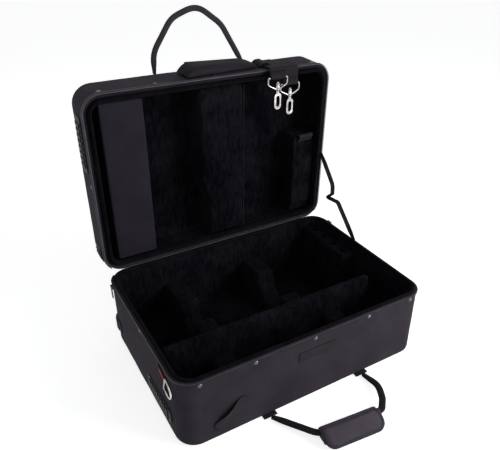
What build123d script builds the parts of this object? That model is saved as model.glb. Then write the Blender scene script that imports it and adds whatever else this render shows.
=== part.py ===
from build123d import *
import math
import os

# Soft-sided carrying case with two bays: a rigid fabric-covered base tray and a lid that opens on
# a fabric hinge along the back. Origin at the centre of the base's underside, X along the long
# side, front wall at -Y, hinge at +Y, Z up. The lid is drawn shut and then turned open.

# ---- Shell -------------------------------------------------------------------------------
case_length = 560.0
case_depth = 395.0
base_height = 160.0
lid_height = 80.0
corner_radius = 40.0
panel_edge_radius = 9.0
shell_wall = 9.0
base_floor = 8.0
lid_panel = 7.0
lining = 3.0
seam_gap = 0.4
lid_open_angle = 88.0
cut_margin = 50.0

# ---- Rims: the base lip stands proud and nests outside the lid's lip ----------------------
lip_rise = 4.0
lip_round = 1.8
base_lip_width = 7.6
zip_band = 3.0
lip_clearance = 1.4
lid_lip_width = 6.0
lid_lip_depth = 16.0
tape_height = 2.4
tape_thickness = 0.8
coil_height = 2.8
coil_width = 2.4
zip_end_from_hinge = 9.5
hinge_tape_from_end = 48.0
hinge_tape_height = 18.0
hinge_tape_thickness = 1.2
hinge_tape_relief = 2.6

# ---- Base interior ------------------------------------------------------------------------
divider_y = -78.0
divider_thickness = 20.0
divider_below_rim = 10.0
divider_round = 6.0
socket_block_width = 40.0
socket_block_length = 166.0
socket_block_below_rim = 20.0
socket_count = 4
socket_pitch = 39.0
socket_radius = 8.0
socket_depth = 55.0
socket_block_gap = 2.5
saddle_thickness = 44.0
back_saddle_top = 96.0
back_saddle_places = (-135.0, 70.0)
back_notch_radii = (34.0, 46.0)
front_saddle_top = 92.0
front_saddle_places = (-150.0, 120.0)
front_notch_radii = (15.0, 24.0)
notch_mouth = 14.0
foam_round = 5.0

# ---- Lid interior, by place along the case and distance from the hinge ---------------------
pocket_from_left = 34.0
pocket_width = 86.0
pocket_low = 22.0
pocket_from_front = 23.0
pocket_wall = 5.0
pocket_front = 9.0
flap_thickness = 5.0
flap_gap = 0.5
block_left = -28.0
block_width = 90.0
block_low = 24.0
block_from_front = 21.0
block_front = 4.0
box_width = 58.0
box_low = 22.0
box_sill_top = 42.0
box_high = 224.0
box_from_lip = 2.0
box_front = 12.0
box_wall = 5.0
door_thickness = 5.0
door_pull_width = 38.0
door_pull_length = 34.0
door_pull_thickness = 2.0

# ---- Trim on the outside --------------------------------------------------------------------
rivet_radius = 4.2
rivet_rise = 1.8
rivet_below_rim = 10.0
inner_rivet_x = 130.0
side_rivets = (-8.0,)
lid_rivet_above_rim = 14.0
patch_size = (86.0, 22.0)
patch_x = 5.0
patch_below_rim = 41.5
patch_thickness = 1.0
pull_length = 82.0
pull_width = 30.0
pull_thickness = 2.0
pull_bulge = 5.0
pull_corner = 12.0
pull_from_left = 98.0
pull_z = 52.0
pull_tilt = 38.0
ring_tab_y = -104.0
ring_tab_length = 32.0
ring_tab_width = 25.0
ring_tab_below_rim = 24.0
ring_tab_tilt = 20.0
ring_tab_thickness = 2.4
ring_wire = 4.0
ring_width = 34.0
ring_reach = 30.0
side_tag_size = (23.0, 8.0)
side_tag_raise = 7.0
side_tag_thickness = 0.8
end_foot_length = 116.0
end_foot_width = 32.0
end_foot_rise = 6.0
end_foot_centre = 93.0
end_foot_offset = 48.0
foot_rib_pitch = 12.0
foot_rib_width = 7.0
foot_rib_rise = 2.5
corner_foot_width = 30.0
corner_foot_rise = 5.0
corner_foot_run = 60.0
corner_foot_base_z = 48.0
corner_foot_lid_z = 36.0
end_foot_lid_z = 31.0

# ---- Carrying handles -----------------------------------------------------------------------
strap_width = 12.0
strap_thickness = 7.0
handle_pin_radius = 3.5
fit_gap = 0.3
lid_handle_points = (
    (-104.0, 0.0), (-103.0, 42.0), (-60.0, 106.0), (-4.0, 127.0), (51.0, 86.0), (102.0, 0.0),
)
lid_handle_inset = 3.0
tab_width = 38.0
tab_length = 54.0
tab_thickness = 2.0
base_handle_reach = 10.5
base_handle_points = ((-101.0, 0.0), (-50.0, 88.0), (86.0, 102.0), (127.0, 46.0), (124.0, 0.0))
base_handle_radii = (14.0, 30.0, 34.0)
base_handle_tilt = 6.8
base_tab_width = 30.0
grip_length = 127.0
grip_core_radius = 10.0
grip_core_back = 4.5
grip_leaf = 4.5
grip_leaf_reach = 19.0
grip_flap_reach = 38.0
grip_flap_slope = 32.0
grip_flap_corner = 14.0

# ---- Shoulder strap lying on the lid ----------------------------------------------------------
webbing_width = 38.0
webbing_thickness = 1.6
webbing_gap = 0.4
pad_left = -70.0
pad_length = 180.0
pad_depth = 50.0
pad_left_height = 24.0
pad_right_height = 11.0
pad_front = 17.2
webbing_front = 18.0
pad_end_slope = 12.0
pad_slant = 4.5
first_drop_x = 136.0
first_drop_inside = 11.6
first_ring_height = -11.0
second_drop_x = 171.0
second_drop_inside = 30.0
second_ring_height = -6.0
arch_height = 9.0
hook_ring_width = 52.0
hook_ring_wire = 4.2
hook_ring_side = 15.0
hook_ring_vee = 25.0
barrel_radius = 5.0
barrel_length = 16.0
barrel_drop = 20.0
swivel_radius = 1.75
swivel_clearance = 0.05
hook_width = 17.0
hook_length = 36.0
hook_thickness = 6.0
hook_throat = 8.0
gate_width = 3.4

# ---- Stay strap between lid and base on the right ---------------------------------------------
stay_width = 13.0
stay_thickness = 1.2
stay_inset = 1.5
stay_base_y = 38.0
stay_lid_distance = 172.0
stay_sag = 0.5

# ---- Zip sliders ------------------------------------------------------------------------------
slider_length = 15.0
slider_height = 10.0
slider_thickness = 2.6
slider_from_hinge = 49.5
slider_bail = 2.0
zip_pull_length = 30.0
zip_pull_width = 8.0
zip_pull_thickness = 1.6

half_length = case_length / 2
half_depth = case_depth / 2
lining_inset = shell_wall + lining
base_lip_inset = zip_band + base_lip_width
lid_lip_inset = base_lip_inset + lip_clearance
inner_x = half_length - lining_inset
inner_y = half_depth - lining_inset
floor_top = base_floor + lining
rim = base_height - seam_gap
lid_rim = base_height + seam_gap
lid_outside = base_height + lid_height
lid_inside = lid_outside - lid_panel - lining
base_lining_top = base_height - lip_rise - seam_gap - 0.2
lid_groove_floor = base_height + lip_rise + 0.6
hinge_tape_length = case_length - 2 * hinge_tape_from_end
divider_top = base_height - divider_below_rim
socket_block_top = base_height - socket_block_below_rim
socket_centre_y = inner_y - socket_block_gap - socket_block_length / 2
pocket_left = pocket_from_left - half_length
pocket_high = case_depth - pocket_from_front
block_high = case_depth - block_from_front
box_right = half_length - lid_lip_inset - lid_lip_width - box_from_lip
box_left = box_right - box_width
outer_rivet_x = half_length - corner_radius
front_rivets = (-outer_rivet_x, -inner_rivet_x, 0.0, inner_rivet_x, outer_rivet_x)
patch_z = base_height - patch_below_rim
pull_x = pull_from_left - half_length
ring_tab_z = base_height - ring_tab_below_rim
first_drop_end = case_depth - first_drop_inside
second_drop_end = case_depth - second_drop_inside
slider_park_y = half_depth - slider_from_hinge

os.makedirs("parts", exist_ok=True)


def save(name, shape):
    """Write one node, as one or more closed solids."""
    export_step(shape, "parts/" + name + ".step")


def block(x_low, x_high, y_low, y_high, z_low, z_high):
    """Box between two corners."""
    size = Box(x_high - x_low, y_high - y_low, z_high - z_low)
    return Pos((x_low + x_high) / 2, (y_low + y_high) / 2, (z_low + z_high) / 2) * size


def prism(inset, z_low, z_high):
    """Upright block with the case's plan, drawn in by inset all round."""
    plan = RectangleRounded(case_length - 2 * inset, case_depth - 2 * inset, corner_radius - inset)
    return Pos(0, 0, z_low) * extrude(plan, z_high - z_low)


def ring(outer_inset, inner_inset, z_low, z_high):
    """Wall that follows the case's plan between two insets."""
    return prism(outer_inset, z_low, z_high) - prism(inner_inset, z_low - 1, z_high + 1)


def edges_at(shape, z):
    """Edges that lie flat at one height."""
    return shape.edges().filter_by_position(Axis.Z, z - 0.01, z + 0.01)


hinge_line = Pos(0, half_depth, base_height)
open_turn = hinge_line * Rot(-lid_open_angle, 0, 0) * hinge_line.inverse()


def opened(shape):
    """Turn a piece of the shut lid to where it stands open."""
    return open_turn * shape


def lid_block(x_low, x_high, near, far, low, high):
    """Box in the shut lid: near and far from the hinge, low and high above the rim."""
    return block(
        x_low, x_high, half_depth - far, half_depth - near, base_height + low, base_height + high
    )


def widest_radii(points, share=0.45):
    """One fillet radius per corner, as large as the shorter run beside it allows."""
    radii = []
    for before, corner, after in zip(points, points[1:], points[2:]):
        run_in = Vector(*corner) - Vector(*before)
        run_out = Vector(*after) - Vector(*corner)
        half_turn = math.radians(run_in.get_angle(run_out)) / 2
        radii.append(share * min(run_in.length, run_out.length) / math.tan(half_turn))
    return radii


# ---- Base tray ----------------------------------------------------------------------------------
def make_base_shell():
    outer = prism(0, 0, rim)
    outer = fillet(edges_at(outer, 0), panel_edge_radius)
    return outer - prism(shell_wall, base_floor, rim + 1)


def make_base_lining():
    walls = ring(shell_wall, lining_inset, base_floor, base_lining_top)
    return walls + prism(shell_wall, base_floor, floor_top)


def make_base_lip():
    cap = ring(zip_band, base_lip_inset, rim, base_height + lip_rise)
    cap = fillet(edges_at(cap, base_height + lip_rise), lip_round)
    return cap + ring(shell_wall, base_lip_inset, base_lining_top, rim)


def zip_side(z_low, z_high, thickness):
    """Band on the outside of the wall, round the front and both ends, stopping near the hinge."""
    band = ring(-thickness, 0, z_low, z_high)
    behind = block(
        -half_length - cut_margin, half_length + cut_margin,
        half_depth - zip_end_from_hinge, half_depth + cut_margin,
        z_low - 1, z_high + 1,
    )
    return band - behind


def make_zip_tape(coil_low, tape_low):
    coil = zip_side(coil_low, coil_low + coil_height, coil_width)
    return coil + zip_side(tape_low, tape_low + tape_height, tape_thickness)


def make_hinge_tape(z_low):
    return block(
        -hinge_tape_length / 2, hinge_tape_length / 2,
        half_depth, half_depth + hinge_tape_thickness, z_low, z_low + hinge_tape_height,
    )


def make_divider():
    wall = block(
        -inner_x, inner_x - socket_block_width,
        divider_y - divider_thickness / 2, divider_y + divider_thickness / 2,
        floor_top, divider_top,
    )
    long_edges = edges_at(wall, divider_top).filter_by(Axis.X)
    return fillet(long_edges, divider_round)


def make_socket_block():
    """Foam block on the right with a row of round sockets."""
    left = inner_x - socket_block_width
    low = socket_centre_y - socket_block_length / 2
    foam = block(left, inner_x, low, low + socket_block_length, floor_top, socket_block_top)
    foam = fillet(edges_at(foam, socket_block_top), foam_round)
    foam &= prism(lining_inset, floor_top, socket_block_top)
    for index in range(socket_count):
        y = socket_centre_y + (index - (socket_count - 1) / 2) * socket_pitch
        hole = Cylinder(socket_radius, socket_depth, align=(Align.CENTER, Align.CENTER, Align.MAX))
        foam -= Pos(left + socket_block_width / 2, y, socket_block_top) * hole
    return foam


def saddle(x, y_low, y_high, top, notch_radius):
    """Foam cross piece with a round-bottomed notch for the load it holds."""
    foam = block(
        x - saddle_thickness / 2, x + saddle_thickness / 2, y_low, y_high, floor_top, top
    )
    foam = fillet(edges_at(foam, top), foam_round)
    middle = (y_low + y_high) / 2
    bottom = top - notch_mouth
    cut = Pos(x, middle, bottom) * Rot(0, 90, 0) * Cylinder(notch_radius, saddle_thickness + 2)
    cut += block(
        x - saddle_thickness, x + saddle_thickness, middle - notch_radius, middle + notch_radius,
        bottom, top + 1,
    )
    return foam - cut


def make_saddles(places, radii, y_low, y_high, top):
    return Compound(
        children=[saddle(x, y_low, y_high, top, radius) for x, radius in zip(places, radii)]
    )


# ---- Small trim shared by base and lid ----------------------------------------------------------
def rivet():
    """Low domed rivet head standing on the wall, its axis along Z."""
    ball_radius = (rivet_radius ** 2 + rivet_rise ** 2) / (2 * rivet_rise)
    ball = Pos(0, 0, rivet_rise - ball_radius) * Sphere(ball_radius)
    keep = Pos(0, 0, rivet_rise / 2) * Box(3 * rivet_radius, 3 * rivet_radius, rivet_rise)
    return ball & keep


def wall_rivets(z):
    """Rivets round the front and the two ends at one height."""
    heads = [Pos(x, -half_depth, z) * Rot(90, 0, 0) * rivet() for x in front_rivets]
    for side in (-1, 1):
        turn = Rot(0, 90 * side, 0)
        heads += [Pos(side * half_length, y, z) * turn * rivet() for y in side_rivets]
    return Compound(children=heads)


def ribbed_foot(length, width, rise):
    """Flat rubber foot with cross ribs, standing on its back at z = 0, long side on X."""
    body = Box(length, width, rise - foot_rib_rise, align=(Align.CENTER, Align.CENTER, Align.MIN))
    body = fillet(body.edges().filter_by(Axis.Z), width / 4)
    ribs = int((length - foot_rib_width) // foot_rib_pitch)
    for index in range(ribs + 1):
        x = (index - ribs / 2) * foot_rib_pitch
        if abs(x) > length / 2 - foot_rib_width:
            continue
        rib = Box(
            foot_rib_width, width * 0.8, foot_rib_rise, align=(Align.CENTER, Align.CENTER, Align.MIN)
        )
        body += Pos(x, 0, rise - foot_rib_rise) * rib
    return body


def end_foot(z):
    """Foot on the left end wall, near the front."""
    lay = Pos(-half_length, -end_foot_centre, z) * Rot(0, -90, 0) * Rot(0, 0, 90)
    return lay * ribbed_foot(end_foot_length, end_foot_width, end_foot_rise)


def corner_foot(side, z):
    """Ribbed strip that wraps a back corner, from the end wall on to the back wall."""
    low = z - corner_foot_width / 2
    high = z + corner_foot_width / 2
    strip = ring(-(corner_foot_rise - foot_rib_rise), 0, low, high)
    for index in range(9):
        angle = math.radians(-6 + 12 * index)
        reach = corner_radius + corner_foot_rise - 0.2
        x = side * (half_length - corner_radius + reach * math.cos(angle))
        y = half_depth - corner_radius + reach * math.sin(angle)
        rib = Box(5.0, foot_rib_width * 0.6, corner_foot_width * 0.8)
        turn = math.degrees(angle) if side > 0 else 180 - math.degrees(angle)
        strip += Pos(x, y, z) * Rot(0, 0, turn) * Pos(-2.4, 0, 0) * rib
    strip -= prism(0, low - 1, high + 1)
    keep = block(
        half_length - corner_radius - corner_foot_run / 2, half_length + cut_margin,
        half_depth - corner_radius - 16, half_depth + cut_margin, low - 1, high + 1,
    )
    if side < 0:
        keep = mirror(keep, Plane.YZ)
    return strip & keep


def make_corner_feet(z):
    return Compound(children=[corner_foot(-1, z), corner_foot(1, z)])


def make_corner_pull():
    """Short webbing pull sewn at both ends, bowed off the front wall between them."""
    half = pull_length / 2 + 1
    with BuildSketch(Plane.XZ) as profile:
        with BuildLine():
            ThreePointArc((-half, 0), (0, pull_bulge), (half, 0))
            Line((half, 0), (half, pull_thickness))
            ThreePointArc((half, pull_thickness), (0, pull_bulge + pull_thickness), (-half, pull_thickness))
            Line((-half, pull_thickness), (-half, 0))
        make_face()
    strip = extrude(profile.sketch, pull_width / 2, both=True)
    strip &= extrude(RectangleRounded(pull_length, pull_width, pull_corner), 20, both=True)
    stand = Pos(pull_x, -half_depth, pull_z) * Rot(0, -pull_tilt, 0) * Rot(90, 0, 0)
    return stand * strip


def make_patch():
    plate = extrude(RectangleRounded(patch_size[0], patch_size[1], 3), patch_thickness)
    return Pos(patch_x, -half_depth, patch_z) * Rot(90, 0, 0) * plate


# ---- Strap rings on the ends ---------------------------------------------------------------------
def on_end(side, shape):
    """Take a piece drawn on the left end wall to the left or the right end."""
    return shape if side < 0 else mirror(shape, Plane.YZ)


def tilted(shape):
    """Turn a piece of the strap ring's tab so that it runs forward and down."""
    root = Pos(0, ring_tab_y, ring_tab_z)
    return root * Rot(ring_tab_tilt, 0, 0) * root.inverse() * shape


ring_bar_y = ring_tab_y - ring_tab_length - ring_wire / 2 - fit_gap
ring_bar_x = -half_length - ring_tab_thickness


def make_ring_tabs():
    tab = block(
        -half_length - ring_tab_thickness, -half_length,
        ring_tab_y - ring_tab_length, ring_tab_y,
        ring_tab_z - ring_tab_width / 2, ring_tab_z + ring_tab_width / 2,
    )
    return Compound(children=[on_end(side, tilted(tab)) for side in (-1, 1)])


def make_side_tags():
    """Small woven tag sewn on each tab, near its upper edge."""
    middle = ring_tab_z + side_tag_raise
    face = -half_length - ring_tab_thickness
    tag = block(
        face - side_tag_thickness, face,
        ring_tab_y - ring_tab_length + 1, ring_tab_y - ring_tab_length + 1 + side_tag_size[0],
        middle - side_tag_size[1] / 2, middle + side_tag_size[1] / 2,
    )
    return Compound(children=[on_end(side, tilted(tag)) for side in (-1, 1)])


def make_strap_ring(side):
    """Half-round wire ring: a straight bar along Z and a bow that reaches forward."""
    half = ring_width / 2
    straight = ring_reach - half
    with BuildLine(Plane.YZ) as route:
        Line((0, -half), (-straight, -half))
        ThreePointArc((-straight, -half), (-ring_reach, 0), (-straight, half))
        Line((-straight, half), (0, half))
    wire = Plane(origin=(0, 0, -half), z_dir=(0, -1, 0)) * Circle(ring_wire / 2)
    bow = sweep(wire, path=route.line)
    bar = Cylinder(ring_wire / 2, ring_width + ring_wire)
    whole = Pos(ring_bar_x, ring_bar_y, ring_tab_z) * (bow + bar)
    return on_end(side, tilted(whole))


# ---- Handles ----------------------------------------------------------------------------------------
def handle_loop(points, radii):
    """Folded-webbing handle in the XY plane, from pin to pin, with its pins along X."""
    path = FilletPolyline(*points, radius=radii)
    start = Vector(*points[1]) - Vector(*points[0])
    section = Plane(origin=(*points[0], 0), z_dir=(start.X, start.Y, 0), x_dir=(0, 0, 1))
    loop = sweep(section * RectangleRounded(strap_thickness, strap_width, 2.6), path=path)
    for x, y in (points[0], points[-1]):
        loop += Pos(x, y, 0) * Rot(0, 90, 0) * Cylinder(handle_pin_radius, strap_width + 2)
    return loop


lid_pin_far = case_depth - lid_handle_inset
lid_pin_high = lid_height + tab_thickness + fit_gap + handle_pin_radius


def make_lid_handle():
    """Loop on the lid's outer face, reaching out past the front edge."""
    loop = Rot(180, 0, 0) * handle_loop(lid_handle_points, widest_radii(lid_handle_points))
    return Pos(0, half_depth - lid_pin_far, base_height + lid_pin_high) * loop


def make_lid_handle_tabs():
    tabs = []
    for x, _ in (lid_handle_points[0], lid_handle_points[-1]):
        tabs.append(
            lid_block(
                x - tab_width / 2, x + tab_width / 2, lid_pin_far - tab_length, lid_pin_far - 1,
                lid_height, lid_height + tab_thickness,
            )
        )
    return Compound(children=tabs)


base_pin_y = -half_depth - base_handle_reach
base_pin_z = handle_pin_radius + fit_gap
base_handle_place = Pos(0, base_pin_y, base_pin_z) * Rot(-base_handle_tilt, 0, 0)


def make_base_handle():
    """Loop that lies on the ground in front, rising a little towards the grip."""
    loop = Rot(180, 0, 0) * handle_loop(base_handle_points, base_handle_radii)
    return base_handle_place * loop


def make_base_handle_tabs():
    """Webbing tabs that come out from under the front edge and end at the handle's pins."""
    tabs = []
    for x, _ in (base_handle_points[0], base_handle_points[-1]):
        tabs.append(
            block(
                x - base_tab_width / 2, x + base_tab_width / 2,
                base_pin_y + handle_pin_radius + fit_gap, -half_depth + panel_edge_radius,
                0.4, 0.4 + tab_thickness,
            )
        )
    return Compound(children=[tab - make_base_shell() for tab in tabs])


grip_start, grip_end = base_handle_points[1:3]
grip_turn = math.degrees(math.atan2(grip_end[1] - grip_start[1], grip_end[0] - grip_start[0]))
grip_place = base_handle_place * Pos(grip_start[0], -grip_start[1], 0)
grip_place = Pos(grip_place.position) * Rot(0, 0, -grip_turn)


grip_core = grip_place * Pos(0, grip_core_back, 0)


def make_grip_wrap():
    """Padded wrap round the handle: a round core and the lower leaf of the fold."""
    core = Pos(grip_length / 2, 0, 0) * Rot(0, 90, 0) * Cylinder(grip_core_radius, grip_length)
    low = fit_gap - grip_place.position.Z
    leaf = block(0, grip_length, -grip_leaf_reach, grip_core_radius - 2, low, low + grip_leaf + 1)
    return grip_core * core + grip_place * leaf


def make_grip_flap():
    """Upper leaf of the fold, a rounded flap that lies down over the wrap."""
    leaf = Box(
        grip_length, grip_flap_reach + 4, grip_leaf, align=(Align.MIN, Align.MAX, Align.MIN)
    )
    front = leaf.edges().filter_by(Axis.Z).group_by(Axis.Y)[0]
    leaf = fillet(front, grip_flap_corner)
    lift = Pos(0, 4, grip_core_radius + fit_gap) * leaf
    return grip_core * Rot(grip_flap_slope, 0, 0) * lift


# ---- Lid ------------------------------------------------------------------------------------------------
def make_lid_shell():
    outer = prism(0, lid_rim, lid_outside)
    outer = fillet(edges_at(outer, lid_outside), panel_edge_radius)
    shell = outer - prism(shell_wall, lid_rim - 1, lid_outside - lid_panel)
    return shell - prism(zip_band - seam_gap, lid_rim - 1, lid_groove_floor)


def make_lid_lining():
    walls = ring(shell_wall, lining_inset, lid_groove_floor, lid_outside - lid_panel)
    return walls + prism(shell_wall, lid_inside, lid_outside - lid_panel)


def make_lid_lip():
    low = base_height - lip_rise
    lip = ring(lid_lip_inset, lid_lip_inset + lid_lip_width, low, low + lid_lip_depth)
    return fillet(edges_at(lip, low), lip_round)


def make_lid_pocket():
    """Padded tray fixed to the lid's panel, open towards the rim."""
    depth = lid_inside - base_height
    outer = lid_block(
        pocket_left, pocket_left + pocket_width, pocket_low, pocket_high,
        pocket_front + flap_thickness + flap_gap, depth,
    )
    inner = lid_block(
        pocket_left + pocket_wall, pocket_left + pocket_width - pocket_wall,
        pocket_low + pocket_wall, pocket_high - pocket_wall, 0, depth - pocket_wall,
    )
    return outer - inner


def make_pocket_flap():
    """Woven-faced cover of the tray, hinged along its left edge."""
    cover = lid_block(
        pocket_left, pocket_left + pocket_width, pocket_low, pocket_high,
        pocket_front, pocket_front + flap_thickness,
    )
    return fillet(cover.edges().filter_by(Axis.Z), 4)


def make_hold_down_block():
    foam = lid_block(
        block_left, block_left + block_width, block_low, block_high,
        block_front, lid_inside - base_height,
    )
    return fillet(edges_at(foam, base_height + block_front), foam_round)


def make_accessory_box():
    """Box in the lid's lower right corner, with a low sill across the foot of its mouth."""
    depth = lid_inside - base_height
    outer = lid_block(
        box_left, box_right, box_low, box_high, box_front + door_thickness + flap_gap, depth
    )
    mouth = lid_block(
        box_left + box_wall, box_right - box_wall, box_sill_top, box_high - box_wall,
        0, depth - box_wall,
    )
    behind_sill = lid_block(
        box_left + box_wall, box_right - box_wall, box_low + box_wall, box_sill_top + 1,
        box_front + door_thickness + flap_gap + box_wall, depth - box_wall,
    )
    return outer - mouth - behind_sill


def make_box_door():
    """Stiff door that turns down about its lower edge, just above the sill."""
    door = lid_block(
        box_left, box_right, box_sill_top, box_high, box_front, box_front + door_thickness
    )
    return fillet(door.edges().filter_by(Axis.Z), 4)


def make_door_pull():
    """Folded webbing pull on the door's free edge."""
    middle = (box_left + box_right) / 2
    return lid_block(
        middle - door_pull_width / 2, middle + door_pull_width / 2,
        box_high - door_pull_length, box_high + 6,
        box_front - door_pull_thickness, box_front,
    )


# ---- Shoulder strap -------------------------------------------------------------------------------------
pad_right = pad_left + pad_length
front_wall = Pos(0, -half_depth, base_height) * Rot(90, 0, 0)
first_lift = webbing_thickness + webbing_gap


def make_strap_pad():
    """Shoulder pad lying along the lid's front wall, its ends sloping down."""
    with BuildSketch(Plane.XZ) as profile:
        with BuildLine():
            Polyline(
                (pad_left, 0), (pad_left + pad_end_slope, pad_left_height),
                (pad_right - pad_end_slope, pad_right_height), (pad_right, 0), (pad_left, 0),
            )
        make_face()
    pad = extrude(profile.sketch, pad_depth / 2, both=True)
    pad = fillet(pad.edges().filter_by(Axis.Y), 4)
    middle = Pos((pad_left + pad_right) / 2, 0, 0)
    pad = middle * Rot(0, 0, -pad_slant) * middle.inverse() * pad
    return front_wall * Pos(0, pad_front + pad_depth / 2, 0) * pad


def drop_strip(x, lift, end):
    """Webbing over the front wall's edge, across the rim and in to where its ring hangs."""
    low = x - webbing_width / 2
    high = x + webbing_width / 2
    outside = case_depth + coil_width + webbing_gap + lift
    face = -lip_rise - webbing_gap - lift
    over = lid_block(
        low, high, outside, outside + webbing_thickness,
        face - webbing_thickness, webbing_front + webbing_width,
    )
    across = lid_block(
        low, high, end, outside + webbing_thickness, face - webbing_thickness, face
    )
    return over + across


def make_first_webbing():
    """Strap end that arches out of the pad, turns and drops over the rim."""
    start = pad_right + 1.5
    end = first_drop_x
    low = coil_width + webbing_gap + first_lift + 0.4
    middle = (start + end) / 2
    with BuildSketch(Plane.XZ) as profile:
        with BuildLine():
            ThreePointArc((start, low), (middle, arch_height), (end, low))
            Line((end, low), (end, low + webbing_thickness))
            ThreePointArc(
                (end, low + webbing_thickness), (middle, arch_height + webbing_thickness),
                (start, low + webbing_thickness),
            )
            Line((start, low + webbing_thickness), (start, low))
        make_face()
    arch = extrude(profile.sketch, webbing_width / 2, both=True)
    arch = front_wall * Pos(0, webbing_front + webbing_width / 2, 0) * arch
    return drop_strip(first_drop_x, first_lift, first_drop_end) + arch


def make_second_webbing():
    """Other strap end: it comes from under the pad and drops over the rim further along."""
    near = case_depth + coil_width + webbing_gap
    run = lid_block(
        pad_right + 1.5, second_drop_x + webbing_width / 2, near, near + webbing_thickness,
        webbing_front, webbing_front + webbing_width,
    )
    return drop_strip(second_drop_x, 0.0, second_drop_end) + run


def ring_place(x, height, end):
    """Place of a hanging ring: its bar's centre, with local -Y hanging down the open lid."""
    distance = end - hook_ring_wire / 2 - 0.7
    return Pos(x, half_depth - distance, base_height + height) * Rot(180, 0, 0)


def make_hook_ring():
    """Wire loop: bar on top, straight sides and a vee that meets in the swivel barrel."""
    half = hook_ring_width / 2 - hook_ring_wire / 2
    meet = barrel_radius - 1
    points = (
        (half, 0), (half, -hook_ring_side), (meet, -hook_ring_vee),
        (-meet, -hook_ring_vee), (-half, -hook_ring_side), (-half, 0), (half, 0),
    )
    wire = Pos(0, -barrel_drop, 0) * Rot(90, 0, 0) * Cylinder(barrel_radius, barrel_length)
    for start, end in zip(points, points[1:]):
        run = Vector(*end) - Vector(*start)
        place = Plane(origin=(*start, 0), z_dir=(run.X, run.Y, 0))
        wire += extrude(place * Circle(hook_ring_wire / 2), run.length)
        wire += Pos(*end, 0) * Sphere(hook_ring_wire / 2)
    bore_radius = swivel_radius + swivel_clearance
    return wire - Pos(0, -barrel_drop, 0) * Rot(90, 0, 0) * Cylinder(bore_radius, barrel_length + 8)


barrel_low = -barrel_drop - barrel_length / 2
hook_neck_top = barrel_low - fit_gap
hook_neck = 7.0
hook_centre = hook_neck_top - hook_neck + 2 - hook_length / 2
mouth_length = hook_length - 20


def make_hook_body():
    """Snap hook on a swivel pin: neck, flat hook and an open mouth on one side."""
    pin_low = hook_neck_top - 1
    pin_high = barrel_low + barrel_length + fit_gap + 1
    pin = Pos(0, (pin_low + pin_high) / 2, 0) * Rot(90, 0, 0)
    pin *= Cylinder(swivel_radius, pin_high - pin_low)
    head = Pos(0, pin_high, 0) * Rot(90, 0, 0) * Cylinder(3.0, 2)
    neck = Pos(0, hook_neck_top - hook_neck / 2, 0) * Rot(90, 0, 0) * Cylinder(4.0, hook_neck)
    outline = RectangleRounded(hook_width, hook_length, hook_width / 2 - 0.5)
    plate = extrude(outline, hook_thickness / 2, both=True)
    throat = RectangleRounded(hook_throat, hook_length - 12, hook_throat / 2 - 0.3)
    eye = extrude(throat, hook_thickness, both=True)
    mouth = Pos(hook_width / 2, 0, 0) * Box(hook_width / 2 + 4, mouth_length, 2 * hook_thickness)
    return pin + head + neck + Pos(0, hook_centre, 0) * (plate - eye - mouth)


def make_hook_gate():
    """Spring gate that closes the hook's mouth, hinged at its lower end."""
    bar = Box(gate_width, mouth_length - 2 * fit_gap, hook_thickness - 1)
    hinge_end = bar.edges().filter_by(Axis.Z).group_by(Axis.Y)[0]
    bar = fillet(hinge_end, gate_width / 2 - 0.05)
    return Pos(hook_width / 2 - gate_width / 2, hook_centre, 0) * bar


# ---- Stay strap -----------------------------------------------------------------------------------------
def make_stay_strap():
    """Narrow webbing from the lid's right rim down to the base's right rim, nearly straight."""
    turn = math.radians(lid_open_angle)
    lid_y = half_depth - stay_lid_distance * math.cos(turn)
    lid_z = base_height + stay_lid_distance * math.sin(turn)
    run = Vector(stay_base_y - lid_y, rim - lid_z, 0)
    across = Vector(-run.Y, run.X, 0).normalized()
    middle = Vector((stay_base_y + lid_y) / 2, (rim + lid_z) / 2, 0) + across * stay_sag
    half = stay_width / 2
    slant = half * 1.3
    points = (
        Vector(lid_y, lid_z + slant), Vector(lid_y, lid_z - slant), middle + across * half,
        Vector(stay_base_y + slant, rim), Vector(stay_base_y - slant, rim), middle - across * half,
        Vector(lid_y, lid_z + slant),
    )
    with BuildSketch(Plane.YZ) as profile:
        with BuildLine():
            Polyline(*points)
        make_face()
    x_low = half_length - stay_inset - stay_thickness
    return Pos(x_low, 0, 0) * extrude(profile.sketch, stay_thickness)


# ---- Zip sliders ----------------------------------------------------------------------------------------
slider_inner = half_length + coil_width + fit_gap
slider_z = rim - coil_height / 2


def make_slider(side):
    """Slider body outside the coil, with a small bail for its pull."""
    body = block(
        -slider_inner - slider_thickness, -slider_inner,
        slider_park_y - slider_length / 2, slider_park_y + slider_length / 2,
        slider_z - slider_height / 2, slider_z + slider_height / 2 - 3,
    )
    body = fillet(body.edges().filter_by(Axis.X), 2.4)
    x = -slider_inner - slider_thickness - slider_bail / 2
    for end in (-1, 1):
        y = slider_park_y + end * (zip_pull_width / 2 + 0.3 + 0.9)
        body += block(x - slider_bail / 2, x + slider_bail / 2 + 0.2, y - 0.9, y + 0.9, slider_z - 2.5, slider_z + 1)
    return on_end(side, body)


def make_zip_pull(side):
    """Flat pull that hangs from the bail."""
    x = -slider_inner - slider_thickness - fit_gap - zip_pull_thickness / 2
    tab = Box(zip_pull_thickness, zip_pull_width, zip_pull_length, align=(Align.CENTER, Align.CENTER, Align.MAX))
    tab = fillet(tab.edges().filter_by(Axis.X).group_by(Axis.Z)[0], 3)
    tab = Pos(x, slider_park_y, slider_z + 0.6) * tab
    return on_end(side, tab)


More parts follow.
